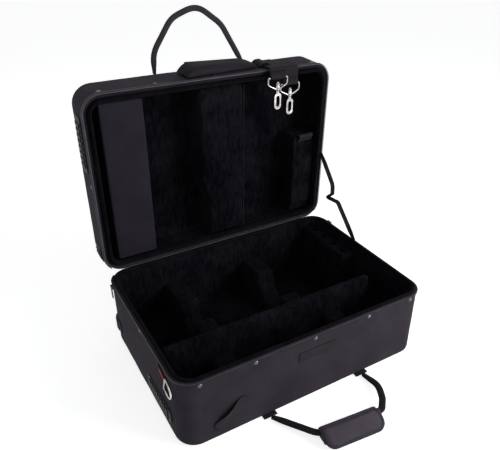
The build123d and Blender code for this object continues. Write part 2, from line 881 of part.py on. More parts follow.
save("base_shell", make_base_shell())
save("base_lining", make_base_lining())
save("base_lip", make_base_lip())
base_tape_low = rim - coil_height - tape_height
save("base_zip_tape", make_zip_tape(rim - coil_height, base_tape_low))
save("base_hinge_tape", make_hinge_tape(base_height - hinge_tape_relief - hinge_tape_height))
save("bay_divider", make_divider())
save("socket_block", make_socket_block())
back_low = divider_y + divider_thickness / 2
save(
    "back_bay_saddles",
    make_saddles(back_saddle_places, back_notch_radii, back_low, inner_y, back_saddle_top),
)
front_high = divider_y - divider_thickness / 2
save(
    "front_bay_saddles",
    make_saddles(front_saddle_places, front_notch_radii, -inner_y, front_high, front_saddle_top),
)
save("base_rivets", wall_rivets(base_height - rivet_below_rim))
save("front_patch", make_patch())
save("corner_pull", make_corner_pull())
save("strap_ring_tabs", make_ring_tabs())
save("side_tags", make_side_tags())
save("strap_ring_left", make_strap_ring(-1))
save("strap_ring_right", make_strap_ring(1))
save("base_end_foot", end_foot(end_foot_offset))
save("base_corner_feet", make_corner_feet(corner_foot_base_z))
save("base_handle_tabs", make_base_handle_tabs())
base_handle = make_base_handle()
save("base_handle", base_handle)
save("grip_wrap", make_grip_wrap() - base_handle)
save("grip_flap", make_grip_flap())
for side, name in ((-1, "left"), (1, "right")):
    save("zip_slider_" + name, make_slider(side))
    save("zip_pull_" + name, make_zip_pull(side))

save("lid_shell", opened(make_lid_shell()))
save("lid_lining", opened(make_lid_lining()))
save("lid_lip", opened(make_lid_lip()))
lid_tape_low = lid_rim + coil_height
save("lid_zip_tape", opened(make_zip_tape(lid_rim, lid_tape_low)))
save("lid_hinge_tape", opened(make_hinge_tape(base_height + hinge_tape_relief)))
save("lid_rivets", opened(wall_rivets(base_height + lid_rivet_above_rim)))
save("lid_end_foot", opened(end_foot(base_height + end_foot_lid_z)))
save("lid_corner_feet", opened(make_corner_feet(base_height + corner_foot_lid_z)))
save("lid_handle_tabs", opened(make_lid_handle_tabs()))
save("lid_handle", opened(make_lid_handle()))
save("lid_pocket", opened(make_lid_pocket()))
save("pocket_flap", opened(make_pocket_flap()))
save("hold_down_block", opened(make_hold_down_block()))
save("accessory_box", opened(make_accessory_box()))
save("box_door", opened(make_box_door()))
save("door_pull", opened(make_door_pull()))
save("strap_pad", opened(make_strap_pad()))
save("strap_webbing_first", opened(make_first_webbing()))
save("strap_webbing_second", opened(make_second_webbing()))
hooks = (
    ("first", ring_place(first_drop_x, first_ring_height, first_drop_end)),
    ("second", ring_place(second_drop_x, second_ring_height, second_drop_end)),
)
for name, place in hooks:
    save("hook_ring_" + name, opened(place * make_hook_ring()))
    save("hook_body_" + name, opened(place * make_hook_body()))
    save("hook_gate_" + name, opened(place * make_hook_gate()))
save("stay_strap", make_stay_strap())
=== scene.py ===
# %% [markdown]
# # A soft case with an open lid
#
# This lesson dresses a two-bay soft case for Blender. The hard facts (sizes, joints, where each
# piece sits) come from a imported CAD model, the frame. Blender adds what a CAD solid can't show:
# cloth that swells, plush that creases, webbing with an edge, a zip with teeth.
#
# The frame stays where it is. Each piece made here either stands for a CAD node or sits on one,
# and rides on one of the frame's bodies, so that it moves when the lid or a handle moves.

# %% Load the frame
import math
import time
import bmesh
import bpy
import numpy as np
from mathutils import Euler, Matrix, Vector, noise


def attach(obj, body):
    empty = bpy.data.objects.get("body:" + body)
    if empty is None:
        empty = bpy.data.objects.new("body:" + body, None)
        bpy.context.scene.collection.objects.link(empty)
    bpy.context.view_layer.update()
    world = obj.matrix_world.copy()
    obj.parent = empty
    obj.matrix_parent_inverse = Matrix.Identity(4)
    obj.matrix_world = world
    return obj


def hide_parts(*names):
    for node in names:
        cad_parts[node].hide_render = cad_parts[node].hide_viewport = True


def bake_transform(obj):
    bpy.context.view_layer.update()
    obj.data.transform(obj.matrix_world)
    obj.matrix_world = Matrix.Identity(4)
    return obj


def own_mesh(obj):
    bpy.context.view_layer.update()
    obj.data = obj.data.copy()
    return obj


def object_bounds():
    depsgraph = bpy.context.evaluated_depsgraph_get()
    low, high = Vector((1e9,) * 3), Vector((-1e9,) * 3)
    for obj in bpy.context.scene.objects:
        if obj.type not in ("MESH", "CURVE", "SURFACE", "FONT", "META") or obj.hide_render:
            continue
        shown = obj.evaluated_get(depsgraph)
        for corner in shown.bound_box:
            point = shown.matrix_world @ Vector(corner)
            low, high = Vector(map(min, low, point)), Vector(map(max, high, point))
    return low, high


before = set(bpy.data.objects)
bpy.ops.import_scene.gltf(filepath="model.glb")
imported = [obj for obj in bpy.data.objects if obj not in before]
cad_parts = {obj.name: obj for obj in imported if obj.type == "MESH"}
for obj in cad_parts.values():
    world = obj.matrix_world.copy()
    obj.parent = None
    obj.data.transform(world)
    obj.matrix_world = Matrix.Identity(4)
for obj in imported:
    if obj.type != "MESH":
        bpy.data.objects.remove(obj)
cad_low, cad_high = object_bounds()
print("box of the case:", [round(v, 3) for v in cad_low], [round(v, 3) for v in cad_high])

# %% [markdown]
# ## Camera, floor and light
#
# The picture was taken from the front left, about a metre and a quarter away, looking down. The
# camera could be turned towards the case by a constraint, but three plain angles are easier to
# keep. They come from the straight edges of the case in the picture. The lens shift is small and
# only centres the case as it is centred there.

# %% Place the camera
camera_data = bpy.data.cameras.new("camera")
camera_data.sensor_width = 36
camera_data.lens = 39.45
camera_data.shift_x = -0.0381
camera_data.shift_y = 0.0254
camera_data.clip_end = 20
camera = bpy.data.objects.new("camera", camera_data)
camera.location = (-0.4904, -0.8311, 0.8429)
camera.rotation_euler = Euler([math.radians(a) for a in (59.32, -0.551, -30.893)])
bpy.context.scene.collection.objects.link(camera)
bpy.context.scene.camera = camera
print("camera at", tuple(round(v, 3) for v in camera.location))

# %% [markdown]
# A studio gives soft light from big panels, so the lamps are wide area lights: a point lamp would
# throw hard shadows into the open case. The key stands at the right, and three weaker lamps lift
# the shadows in front, behind and at the left.


# %% Light the case
def soft_lamp(name, place, aim, size, power):
    """Square area lamp at one point, turned towards another."""
    data = bpy.data.lights.new(name, "AREA")
    data.size = size
    data.energy = power
    lamp = bpy.data.objects.new(name, data)
    lamp.location = place
    lamp.rotation_euler = (Vector(aim) - Vector(place)).to_track_quat("-Z", "Y").to_euler()
    bpy.context.scene.collection.objects.link(lamp)


soft_lamp("key_lamp", (1.4, -1.35, 0.85), (0, 0, 0.15), 1.3, 33)
soft_lamp("fill_lamp", (-1.3, -1.7, 1.7), (0, 0, 0.15), 1.7, 5)
soft_lamp("back_lamp", (0.3, 1.9, 1.7), (0, 0, 0.2), 1.5, 2)
soft_lamp("left_lamp", (-2.0, 0.2, 0.8), (0, 0, 0.1), 1.2, 1.2)

# %% [markdown]
# The sky is white only for the camera and for things seen in metal or glass. The light that falls
# on the cloth is a quiet grey, so that a colour renders as it is written. A light path node tells
# the two kinds of ray apart, and a mix shader picks the background for each.


# %% Paint the sky
def node(tree, kind, inputs=None, **settings):
    """Add a shader node, fill its inputs, and link those that are given as outputs."""
    made = tree.nodes.new(kind)
    for key, value in settings.items():
        setattr(made, key, value)
    for key, value in (inputs or {}).items():
        if isinstance(value, bpy.types.NodeSocket):
            tree.links.new(value, made.inputs[key])
        else:
            made.inputs[key].default_value = value
    return made


def maths(tree, kind, first, second):
    """One step of arithmetic on values or outputs."""
    return node(tree, "ShaderNodeMath", {0: first, 1: second}, operation=kind).outputs[0]


def seen_rays(tree):
    """1 for a ray that shows the background, straight or in metal or glass, and 0 for light."""
    path = node(tree, "ShaderNodeLightPath")
    most = path.outputs["Is Camera Ray"]
    for kind in ("Is Glossy Ray", "Is Transmission Ray"):
        most = maths(tree, "MAXIMUM", most, path.outputs[kind])
    return most


world = bpy.data.worlds.new("studio")
bpy.context.scene.world = world
world.use_nodes = True
sky = world.node_tree
sky.nodes.clear()
white = node(sky, "ShaderNodeBackground", {"Color": (1, 1, 1, 1)})
quiet = node(sky, "ShaderNodeBackground", {"Color": (0.95, 0.97, 1.0, 1), "Strength": 0.24})
choice = {0: seen_rays(sky), 1: quiet.outputs[0], 2: white.outputs[0]}
sky_mix = node(sky, "ShaderNodeMixShader", choice)
node(sky, "ShaderNodeOutputWorld", {0: sky_mix.outputs[0]})
bpy.context.scene.view_settings.view_transform = "Standard"
print("sky nodes:", len(sky.nodes))

# %% [markdown]
# The floor is a plain pale sheet just under the case. It keeps the case's shadow, and in the
# picture it is almost white. A glow that only such background rays see lifts it, so that no lamp
# has to be turned up for it.

# %% Lay the floor
floor_reach, floor_gap = 6, 0.0006
corners = [(floor_reach * x, floor_reach * y, 0) for x, y in ((-1, -1), (1, -1), (1, 1), (-1, 1))]
floor_mesh = bpy.data.meshes.new("floor")
floor_mesh.from_pydata(corners, [], [(0, 1, 2, 3)])
floor = bpy.data.objects.new("floor", floor_mesh)
floor.location = (0, 0, float(cad_low[2]) - floor_gap)
bpy.context.scene.collection.objects.link(floor)
floor_paint = bpy.data.materials.new("pale_floor")
floor_paint.use_nodes = True
paint = floor_paint.node_tree
matt = paint.nodes["Principled BSDF"]
matt.inputs["Base Color"].default_value = (0.86, 0.86, 0.86, 1)
matt.inputs["Roughness"].default_value = 0.9
matt.inputs["Specular IOR Level"].default_value = 0.1
glow = node(paint, "ShaderNodeEmission", {"Color": (1, 1, 1, 1), "Strength": 0.74})
lifted = node(paint, "ShaderNodeAddShader", {0: matt.outputs[0], 1: glow.outputs[0]})
choice = {0: seen_rays(paint), 1: matt.outputs[0], 2: lifted.outputs[0]}
floor_mix = node(paint, "ShaderNodeMixShader", choice)
paint.links.new(floor_mix.outputs[0], paint.nodes["Material Output"].inputs[0])
floor_mesh.materials.append(floor_paint)
print("floor at", round(floor.location.z, 4))

# %% [markdown]
# ## Finishes
#
# Every finish is a Principled shader with a few nodes in front of it. A woven cloth needs three
# things: threads (a bump from two crossed waves), uneven dye (slow noise in the colour) and fluff
# (sheen). The same three are mixed differently for nylon, webbing and plush. The threads follow
# the UV map, which every mesh below lays out in metres, so a thread has its real width on every
# piece.


# %% Helpers for finishes
def tint(code):
    """Linear colour from a hex code as a paint program shows it."""
    parts = [int(code[i : i + 2], 16) / 255 for i in (1, 3, 5)]
    return [p / 12.92 if p <= 0.04045 else ((p + 0.055) / 1.055) ** 2.4 for p in parts] + [1]


def finish(name, roughness, specular=0.4, sheen=0.0, sheen_tint="#ffffff", metallic=0.0):
    """New material with the plain numbers set on its shader."""
    material = bpy.data.materials.new(name)
    material.use_nodes = True
    shader = material.node_tree.nodes["Principled BSDF"]
    shader.inputs["Roughness"].default_value = roughness
    shader.inputs["Specular IOR Level"].default_value = specular
    shader.inputs["Metallic"].default_value = metallic
    shader.inputs["Sheen Weight"].default_value = sheen
    shader.inputs["Sheen Roughness"].default_value = 0.45
    shader.inputs["Sheen Tint"].default_value = tint(sheen_tint)
    return material


def place_of(tree, kind="UV"):
    """Where on the piece a point is: UV in metres, or Object for a CAD node."""
    return tree.nodes.new("ShaderNodeTexCoord").outputs[kind]


def speckle(tree, where, scale, detail=3.0, rough=0.55):
    """Noise: patches at a small scale, grain at a large one."""
    given = {"Vector": where, "Scale": scale, "Detail": detail, "Roughness": rough}
    return node(tree, "ShaderNodeTexNoise", given).outputs[0]


def wave(tree, where, per_metre, direction):
    """Stripes across one direction. Blender's own scale counts 20 / (2 pi) stripes per unit."""
    given = {"Vector": where, "Scale": per_metre * math.pi / 10, "Detail": 0.0}
    kind = {"wave_type": "BANDS", "bands_direction": direction, "wave_profile": "SIN"}
    return node(tree, "ShaderNodeTexWave", given, **kind).outputs["Fac"]


def mixed(tree, first, share, other):
    """A share of the first value, and the rest from the other."""
    rest = maths(tree, "MULTIPLY", other, 1 - share)
    return maths(tree, "ADD", maths(tree, "MULTIPLY", first, share), rest)


def ramp(tree, factor, stops):
    """Colour ramp from (position, hex code) stops."""
    made = node(tree, "ShaderNodeValToRGB", {0: factor})
    bar = made.color_ramp
    while len(bar.elements) < len(stops):
        bar.elements.new(0.5)
    for element, (position, code) in zip(bar.elements, stops):
        element.position = position
        element.color = tint(code)
    return made.outputs[0]


def bump(tree, height, distance, strength, below=None):
    """Dents in the surface from a height, on top of the dents below."""
    given = {"Height": height, "Distance": distance, "Strength": strength}
    if below is not None:
        given["Normal"] = below
    return node(tree, "ShaderNodeBump", given).outputs[0]


def wear(material, colour, normal):
    """Link a colour and a normal to the material's shader."""
    tree = material.node_tree
    shader = tree.nodes["Principled BSDF"]
    tree.links.new(colour, shader.inputs["Base Color"])
    tree.links.new(normal, shader.inputs["Normal"])
    return material


def crossed_threads(tree, where, threads_per_metre):
    """Plain weave: warp and weft take turns on top, as on a chess board."""
    across = wave(tree, where, threads_per_metre, "X")
    along = wave(tree, where, threads_per_metre, "Y")
    squares = node(tree, "ShaderNodeTexChecker", {"Vector": where, "Scale": threads_per_metre})
    turn = squares.outputs["Fac"]
    first = maths(tree, "MULTIPLY", across, turn)
    other = maths(tree, "MULTIPLY", along, maths(tree, "SUBTRACT", 1.0, turn))
    return maths(tree, "ADD", first, other)


print("helpers for finishes are ready")

# %% [markdown]
# The outside is a heavy nylon in a purple-tinged dark grey. Its threads are about three quarters
# of a millimetre wide. The inside is a black plush with a blue cast: very rough, no gloss, and a
# sheen that lights up where the pile is seen edge on.


# %% Make the cloths
def woven(name, dark, pale, threads, sheen, roughness=0.75, specular=0.35):
    """Plain-woven cloth with a number of threads per metre."""
    thread_depth, patch_depth = 0.00025, 0.0005
    material = finish(name, roughness, specular, sheen, pale)
    tree = material.node_tree
    where = place_of(tree)
    weave = crossed_threads(tree, where, threads)
    dye = mixed(tree, speckle(tree, where, 14.0), 0.75, weave)
    soft = bump(tree, speckle(tree, where, 60.0), patch_depth, 0.5)
    colour = ramp(tree, dye, [(0.25, dark), (0.8, pale)])
    return wear(material, colour, bump(tree, weave, thread_depth, 0.7, soft))


def pile(name, dark, pale, sheen, sheen_tint="#55556a"):
    """Plush: brushed strokes in patches, and fluff as fine dents."""
    fluff_depth, stroke_depth = 0.0006, 0.0025
    material = finish(name, 0.95, 0.04, sheen, sheen_tint)
    tree = material.node_tree
    where = place_of(tree, "Object")
    brush = {"Vector": where, "Rotation": (0.0, 0.25, 0.3), "Scale": (1.0, 1.0, 0.3)}
    lean = node(tree, "ShaderNodeMapping", brush)
    strokes = speckle(tree, lean.outputs[0], 150.0, 5.0, 0.65)
    patches = speckle(tree, where, 13.0, 5.0)
    brushed = mixed(tree, strokes, 0.55, patches)
    fluff = bump(tree, speckle(tree, where, 900.0, 2.0), fluff_depth, 0.8)
    creases = bump(tree, strokes, stroke_depth, 0.4, fluff)
    return wear(material, ramp(tree, brushed, [(0.4, dark), (0.66, pale)]), creases)


nylon = woven("case_nylon", "#2a262c", "#423d45", 1300, 0.05, specular=0.06)
panel_weave = woven("pocket_panel_weave", "#27242b", "#34313a", 1600, 0.05, specular=0.05)
padding_cloth = woven("padding_cloth", "#453d47", "#5f5762", 1500, 0.08, specular=0.08)
grip_binding = woven("grip_binding", "#35343a", "#4b4a52", 1500, 0.06, specular=0.06)
binding_cloth = woven("binding_cloth", "#262428", "#37343a", 1500, 0.05, specular=0.06)
patch_cloth = woven("patch_cloth", "#19171b", "#252327", 1900, 0.04, 0.6, specular=0.15)
plush = pile("black_plush", "#040307", "#1f1d23", 0.05)
lip_plush = pile("lip_plush", "#09080b", "#1a181d", 0.05, "#6a6872")
print("cloths:", [m.name for m in bpy.data.materials])

# %% [markdown]
# Webbing is a thick ribbon: close ribs across it, a thicker selvedge at each edge. The UV map runs
# across in u and along in v, so the ribs are waves in v. Rubber, paint and metal need less: one
# fine grain, in the colour and in the bump. On the nickel the colour's dark and pale blotches are
# painted reflections, and two pale finishes are painted highlights along edges.


# %% Make webbing, zip, rubber and metal finishes
def ribbed_webbing(name, dark, pale, ribs, sheen=0.1):
    """Ribbon with a number of ribs per metre, and finer threads across them."""
    threads, rib_depth = 1500, 0.0004
    material = finish(name, 0.75, 0.07, sheen, pale)
    tree = material.node_tree
    where = place_of(tree)
    height = mixed(tree, wave(tree, where, ribs, "Y"), 0.7, wave(tree, where, threads, "X"))
    dye = mixed(tree, height, 0.4, speckle(tree, where, 30.0))
    colour = ramp(tree, dye, [(0.25, dark), (0.75, pale)])
    return wear(material, colour, bump(tree, height, rib_depth, 0.8))


def grained(name, dark, pale, roughness, specular, scale, depth, metallic=0.0):
    """Moulded or cast finish: fine grain in the bump and in the colour, where a wide spread paints reflections."""
    material = finish(name, roughness, specular, metallic=metallic)
    tree = material.node_tree
    where = place_of(tree, "Object")
    grain = speckle(tree, where, scale, 4.0)
    grain_and_painted_glints = mixed(tree, grain, 0.5, speckle(tree, where, 35.0, 4.0))
    colour = ramp(tree, grain_and_painted_glints, [(0.3, dark), (0.7, pale)])
    return wear(material, colour, bump(tree, grain, depth, 0.5))


webbing = ribbed_webbing("ribbed_webbing", "#1d1b20", "#302d33", 620, 0.06)
pale_webbing = ribbed_webbing("handle_webbing", "#2b292e", "#413e44", 620, 0.06)
coil_nylon = grained("coil_nylon", "#312e35", "#55525a", 0.42, 0.3, 900, 0.00005)
zip_tape_cloth = ribbed_webbing("zip_tape_cloth", "#1f1c22", "#322f35", 900, 0.05)
# A pale plush, used only as a painted highlight along the hold-down block's edge.
edge_highlight_plush = pile("edge_highlight_plush", "#1c1a20", "#35323a", 0.1)
# A pale cord colour: a painted highlight for the bright line round the lid's edge.
pale_highlight_cord = ribbed_webbing("pale_highlight_cord", "#56535b", "#85828b", 900, 0.1)
foot_rubber = grained("foot_rubber", "#1b191d", "#2a272c", 0.6, 0.25, 700, 0.0001)
# The nickel's colour runs from near black to near white in blotches: painted reflections of the dark case and the
# white sky.
nickel_with_painted_glints = grained("nickel_plate", "#2c2a2e", "#dcd8d4", 0.16, 0.5, 130, 0.0001, 1.0)
rivet_steel = grained("rivet_steel", "#4b494e", "#77757b", 0.28, 0.5, 300, 0.00002, 1.0)
slider_paint = grained("slider_paint", "#161518", "#242327", 0.45, 0.3, 700, 0.00003)
stitch_thread = grained("stitch_thread", "#1b191e", "#2b282e", 0.6, 0.3, 1500, 0.00005)
tag_cloth = woven("tag_cloth", "#8e3a24", "#b5553a", 1800, 0.2)
print("finishes:", len(bpy.data.materials))

# %% [markdown]
# ## Making meshes
#
# Most of the case is cloth on a rounded box, so most meshes are lofts: a row of rings, each the
# case's plan drawn in by some amount, joined by faces. All sizes below are in millimetres, as on
# a maker's drawing, and one helper turns them into metres. It also lays out the UV map in metres,
# because the weave is measured in threads per metre.


# %% Helpers for meshes
def make_piece(name, points, faces, material, body, slot, uvs=None, stands_for=(), ride=True):
    """Mesh object from points in mm. uvs gives one (u, v) in mm for each corner of each face."""
    mesh = bpy.data.meshes.new(name)
    faces = [list(map(int, face)) for face in faces]
    mesh.from_pydata((np.asarray(points, float) / 1000).tolist(), [], faces)
    if uvs is not None:
        layer = mesh.uv_layers.new(name="UVMap")
        layer.data.foreach_set("uv", (np.asarray(uvs, float) / 1000).ravel())
    shape = bmesh.new()
    shape.from_mesh(mesh)
    bmesh.ops.recalc_face_normals(shape, faces=shape.faces)
    shape.to_mesh(mesh)
    shape.free()
    mesh.polygons.foreach_set("use_smooth", [True] * len(mesh.polygons))
    mesh.materials.append(material)
    made = bpy.data.objects.new(name, mesh)
    bpy.context.scene.collection.objects.link(made)
    if ride:
        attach(made, body)
    if stands_for:
        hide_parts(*stands_for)
    return made


def grid_faces(rows, columns, ring, loop=False):
    """Quads between rows of points. ring joins a row's ends, loop the last row to the first."""
    faces = []
    for i in range(rows if loop else rows - 1):
        for j in range(columns if ring else columns - 1):
            a, b = i * columns, ((i + 1) % rows) * columns
            k = (j + 1) % columns
            faces.append((a + j, a + k, b + k, b + j))
    return faces


def running(points, closed):
    """Distance along a row of points, with one more entry when the row is closed."""
    row = np.asarray(points, float)
    if closed:
        row = np.vstack([row, row[:1]])
    return np.concatenate([[0.0], np.cumsum(np.linalg.norm(np.diff(row, axis=0), axis=1))])


def read_at(values, along, wanted):
    """Columns of values that lie along a line, read at the wanted distances."""
    columns = np.asarray(values, float).T
    return np.stack([np.interp(wanted, along, column) for column in columns], axis=-1)


def grid_uvs(rows, ring, loop=False):
    """UV corners for grid_faces: along the longest row in u, from row to row in v."""
    count, columns = rows.shape[:2]
    u = max((running(row, ring) for row in rows), key=lambda r: r[-1])
    middle = rows[:, :: max(1, columns // 24)]
    v = np.mean([running(middle[:, j], loop) for j in range(middle.shape[1])], axis=0)
    uvs = []
    for i in range(count if loop else count - 1):
        for j in range(columns if ring else columns - 1):
            uvs += [(u[j], v[i]), (u[j + 1], v[i]), (u[j + 1], v[i + 1]), (u[j], v[i + 1])]
    return uvs


def loft(name, rows, material, body, slot, ring=True, loop=False, caps=False, turn=None, **more):
    """Skin over rows of points. caps closes the first and last row with one face each."""
    rows = np.asarray(rows, float)
    count, columns = rows.shape[:2]
    faces = grid_faces(count, columns, ring, loop)
    uvs = grid_uvs(rows, ring, loop)
    if caps:
        for row, order in ((0, -1), (count - 1, 1)):
            ends = list(range(row * columns, (row + 1) * columns))[::order]
            faces.append(ends)
            uvs += [tuple(rows[row, k % columns][:2]) for k in ends]
    points = rows.reshape(-1, 3)
    if turn is not None:
        points = turn(points)
    return make_piece(name, points, faces, material, body, slot, uvs, **more)


print("helpers for meshes are ready")

# %% [markdown]
# The case's plan is a rectangle with round corners. Every ring has the same number of points, so
# rings of different size join without twisting. The lid is drawn shut, where its sides are
# upright, and then turned about the hinge line to where the frame holds it open. That keeps the
# numbers plain: a height is a height, on the base and on the lid.

# %% The case's plan and the lid's turn
case_length, case_depth, corner_radius = 560.0, 395.0, 40.0
half_length, half_depth = case_length / 2, case_depth / 2
base_height, lid_height = 160.0, 80.0
rim, lid_rim = base_height - 0.4, base_height + 0.4
lid_top = base_height + lid_height
lid_angle = math.radians(88)
long_steps, short_steps, corner_steps = 60, 42, 10
cover_grain = 45.0


def plan(inset):
    """Plan drawn in by inset: points, outward directions, and closeness to a side's middle."""
    x, y = half_length - inset, half_depth - inset
    radius = max(corner_radius - inset, 3.0)
    sides = (
        ((-x + radius, -y), (x - radius, -y), -90, long_steps),
        ((x, -y + radius), (x, y - radius), 0, short_steps),
        ((x - radius, y), (-x + radius, y), 90, long_steps),
        ((-x, y - radius), (-x, -y + radius), 180, short_steps),
    )
    points, outward, middle = [], [], []
    for start, end, angle, steps in sides:
        facing = math.radians(angle)
        for step in range(steps):
            share = step / steps
            points.append([a + (b - a) * share for a, b in zip(start, end)])
            outward.append((math.cos(facing), math.sin(facing)))
            middle.append(math.sin(math.pi * share))
        centre = (end[0] - radius * math.cos(facing), end[1] - radius * math.sin(facing))
        for step in range(corner_steps):
            turn = facing + math.pi / 2 * step / corner_steps
            points.append([centre[0] + radius * math.cos(turn), centre[1] + radius * math.sin(turn)])
            outward.append((math.cos(turn), math.sin(turn)))
            middle.append(0.0)
    return np.array(points), np.array(outward), np.array(middle)


def wander(point, grain):
    """Smooth noise at a point, which changes over about grain mm."""
    return noise.noise(Vector(np.asarray(point, float) / grain))


def ring_at(inset, z, swell=0.0, wobble=0.0):
    """One ring of the plan at a height. swell bulges the sides, wobble adds slow unevenness."""
    points, outward, middle = plan(inset)
    push = swell * middle
    if wobble:
        push = push + wobble * np.array([wander((x, y, z), cover_grain) for x, y in points])
    points = points + outward * push[:, None]
    return np.column_stack([points, np.full(len(points), z)])


def swung(angle, a, b):
    """Two coordinates turned about zero by an angle."""
    c, s = math.cos(angle), math.sin(angle)
    return a * c - b * s, a * s + b * c


def open_lid(points):
    """Turn points of the shut lid to where they are with the lid open."""
    p = np.asarray(points, float).copy()
    y, z = swung(-lid_angle, p[:, 1] - half_depth, p[:, 2] - base_height)
    p[:, 1], p[:, 2] = half_depth + y, base_height + z
    return p


def from_hinge(x, far, high):
    """Point of the shut lid: far from the hinge, high above the rim."""
    return (x, half_depth - far, base_height + high)


print("points round the plan:", len(plan(0)[0]))

# %% [markdown]
# ## Base and lid covers
#
# The covers are nylon over thin board. A box with a bevel would look like moulded plastic, so each
# wall swells by about two millimetres between its corners and the surface wanders a little. The
# cover turns over the rim and runs down inside, where the lining hides it.


# %% Sew the base cover
base_swell, lid_swell, unevenness = 1.6, 1.2, 0.5
base_wall, lid_wall = (4, 154), (161, 238)


def wall_swell(z, wall, most):
    """Bulge of a wall at a height: most in its middle, nothing at its foot and head."""
    low, high = wall
    share = min(max((z - low) / (high - low), 0), 1)
    return most * math.sin(math.pi * share) ** 0.7


def cover_ring(inset, z, wall, most):
    """Ring of a cover. Only the outer face of the wall swells and wanders."""
    swell = wall_swell(z, wall, most) if inset < 1 else 0
    return ring_at(inset, z, swell, unevenness if swell else 0)


base_floor = [(186, 0), (120, 0), (60, 0), (24, 0), (12, 0), (9, 0)]
base_foot = [(5.6, 0.6), (2.6, 2.6), (0.6, 5.6), (0, 9)]
base_side = [(0, z) for z in range(16, 150, 9)] + [(0, 152), (0, 156)]
base_turn = [(0.3, 158.4), (1.2, 159.4), (2.6, rim), (8.8, rim)]
base_inside = [(8.8, 150), (8.8, 60), (8.8, 8.4), (20, 8.3), (90, 8.3), (186, 8.3)]
base_profile = base_floor + base_foot + base_side + base_turn + base_inside
rows = [cover_ring(inset, z, base_wall, base_swell) for inset, z in base_profile]
base_cover = loft(
    "base_cover", rows, nylon, "base", "nylon", caps=True, stands_for=["base_shell"]
)
print("base cover faces:", len(base_cover.data.polygons))

# %% [markdown]
# The lid's cover is made in the same way, from the inside out: down the inner wall, round the
# lid's rim, up the outer wall and over the top. The top rises by two millimetres towards its
# middle, because thin board under tight cloth is never quite flat.

# %% Sew the lid cover
lid_inside = [(186, 233.6), (100, 233.4), (20, 233.4), (9.2, 233), (9.0, 200), (9.0, 165)]
lid_turn = [(2.6, 164.4), (2.6, 161.6), (1.8, lid_rim), (0.7, 160.9), (0, 163), (0, 167)]
lid_side = [(0, z) for z in range(172, 230, 7)] + [(0, 231)]
lid_shoulder = [(0.7, 234.6), (2.6, 237.4), (5.4, 239.3), (9, lid_top)]
lid_crown = [(16, 240.2), (30, 240.6), (60, 241.2), (110, 241.8), (150, 242), (186, 242)]
lid_profile = lid_inside + lid_turn + lid_side + lid_shoulder + lid_crown
rows = [cover_ring(inset, z, lid_wall, lid_swell) for inset, z in lid_profile]
lid_cover = loft(
    "lid_cover", rows, nylon, "lid", "nylon", caps=True, turn=open_lid, stands_for=["lid_shell"]
)
print("lid cover faces:", len(lid_cover.data.polygons))

# %% [markdown]
# ## Linings and lips
#
# The inside is lined with plush glued to the walls. It is rounded where wall meets floor, and it
# creases, more along the corners than on the sides. Noise that is stretched upwards gives long
# upright creases.


# %% Line the base and the lid
crease_across, crease_up, crease_depth = 24.0, 130.0, 0.9
lining_inset = 12


def rings(profile):
    """Plain rings of the plan from (inset, height) pairs."""
    return [ring_at(inset, z) for inset, z in profile]


def creased(rows, seed):
    """Push the points of a lining in and out along the walls' outward direction."""
    rows = np.asarray(rows, float)
    outward = plan(lining_inset)[1]
    for row in rows:
        for j, (x, y, z) in enumerate(row.copy()):
            place = Vector((x / crease_across, y / crease_across, z / crease_up + seed))
            row[j, :2] += outward[j] * crease_depth * noise.noise(place)
    return list(rows)


def lining(name, hidden, wall, floor, seed, body, stands_for, turn=None):
    """Lining from its hidden back, its creased wall and its floor."""
    rows = rings(hidden) + creased(rings(wall), seed) + rings(floor)
    return loft(name, rows, plush, body, "plush", caps=True, turn=turn, stands_for=stands_for)


base_plush = lining(
    "base_plush",
    [(186, 8.6), (60, 8.6), (9.2, 8.6), (9.2, 90), (9.2, 155.2)],
    [(11.8, 155.2), (12.4, 150)] + [(12.6, z) for z in range(142, 24, -9)],
    [(12.8, 20), (13.8, 15.6), (16.4, 12.4), (21, 11.2), (40, 11), (90, 11), (186, 11)],
    3.0, "base", ["base_lining"],
)
lid_plush = lining(
    "lid_plush",
    [(186, 232.8), (60, 232.8), (9.3, 232.8), (9.3, 165)],
    [(12.2, 165), (12.4, 172)] + [(12.5, z) for z in range(178, 224, 7)],
    [(13.0, 226), (15, 229), (19, 230), (60, 230.2), (120, 230.2), (186, 230.2)],
    9.0, "lid", ["lid_lining"], open_lid,
)
print("linings:", len(base_plush.data.polygons), len(lid_plush.data.polygons))

# %% [markdown]
# Each rim carries a plump lip: foam rolled in plush. It is a ring with a soft section, and it
# puckers slightly along its length, as cloth does when it is pulled round a corner.


# %% Roll the lips
pucker_height, pucker_length = 0.35, 9.0


def lip(name, section, body, node_name, turn=None):
    """Soft ring from a section of (inset, height) pairs."""
    rows = []
    for inset, z in section:
        row = ring_at(inset, z)
        for point, s in zip(row, running(row, False)):
            place = Vector((s / pucker_length, inset / 4.0, z / 4.0))
            point[2] += pucker_height * noise.noise(place)
        rows.append(row)
    return loft(name, rows, lip_plush, body, "plush", loop=True, turn=turn, stands_for=[node_name])


base_section = [
    (3.1, 159.8), (2.9, 161.4), (3.4, 162.9), (4.6, 163.8), (6.4, 164.1), (8.3, 163.9),
    (9.8, 163.0), (10.7, 161.4), (10.9, 159.2), (10.6, 156.8), (9.9, 155.6), (9.1, 156.0),
    (9.0, 159.6), (6, 159.7),
]
base_roll = lip("base_lip_roll", base_section, "base", "base_lip")
lid_section = [
    (12.0, 171.6), (11.9, 164.0), (12.0, 159.0), (12.6, 157.0), (14.0, 155.9), (15.6, 155.9),
    (17.2, 157.0), (18.0, 159.0), (18.2, 163.0), (18.1, 168.0), (17.6, 171.2), (16.2, 172.0),
    (13.4, 172.0),
]
lid_roll = lip("lid_lip_roll", lid_section, "lid", "lid_lip", turn=open_lid)
print("lips:", base_roll.name, lid_roll.name)

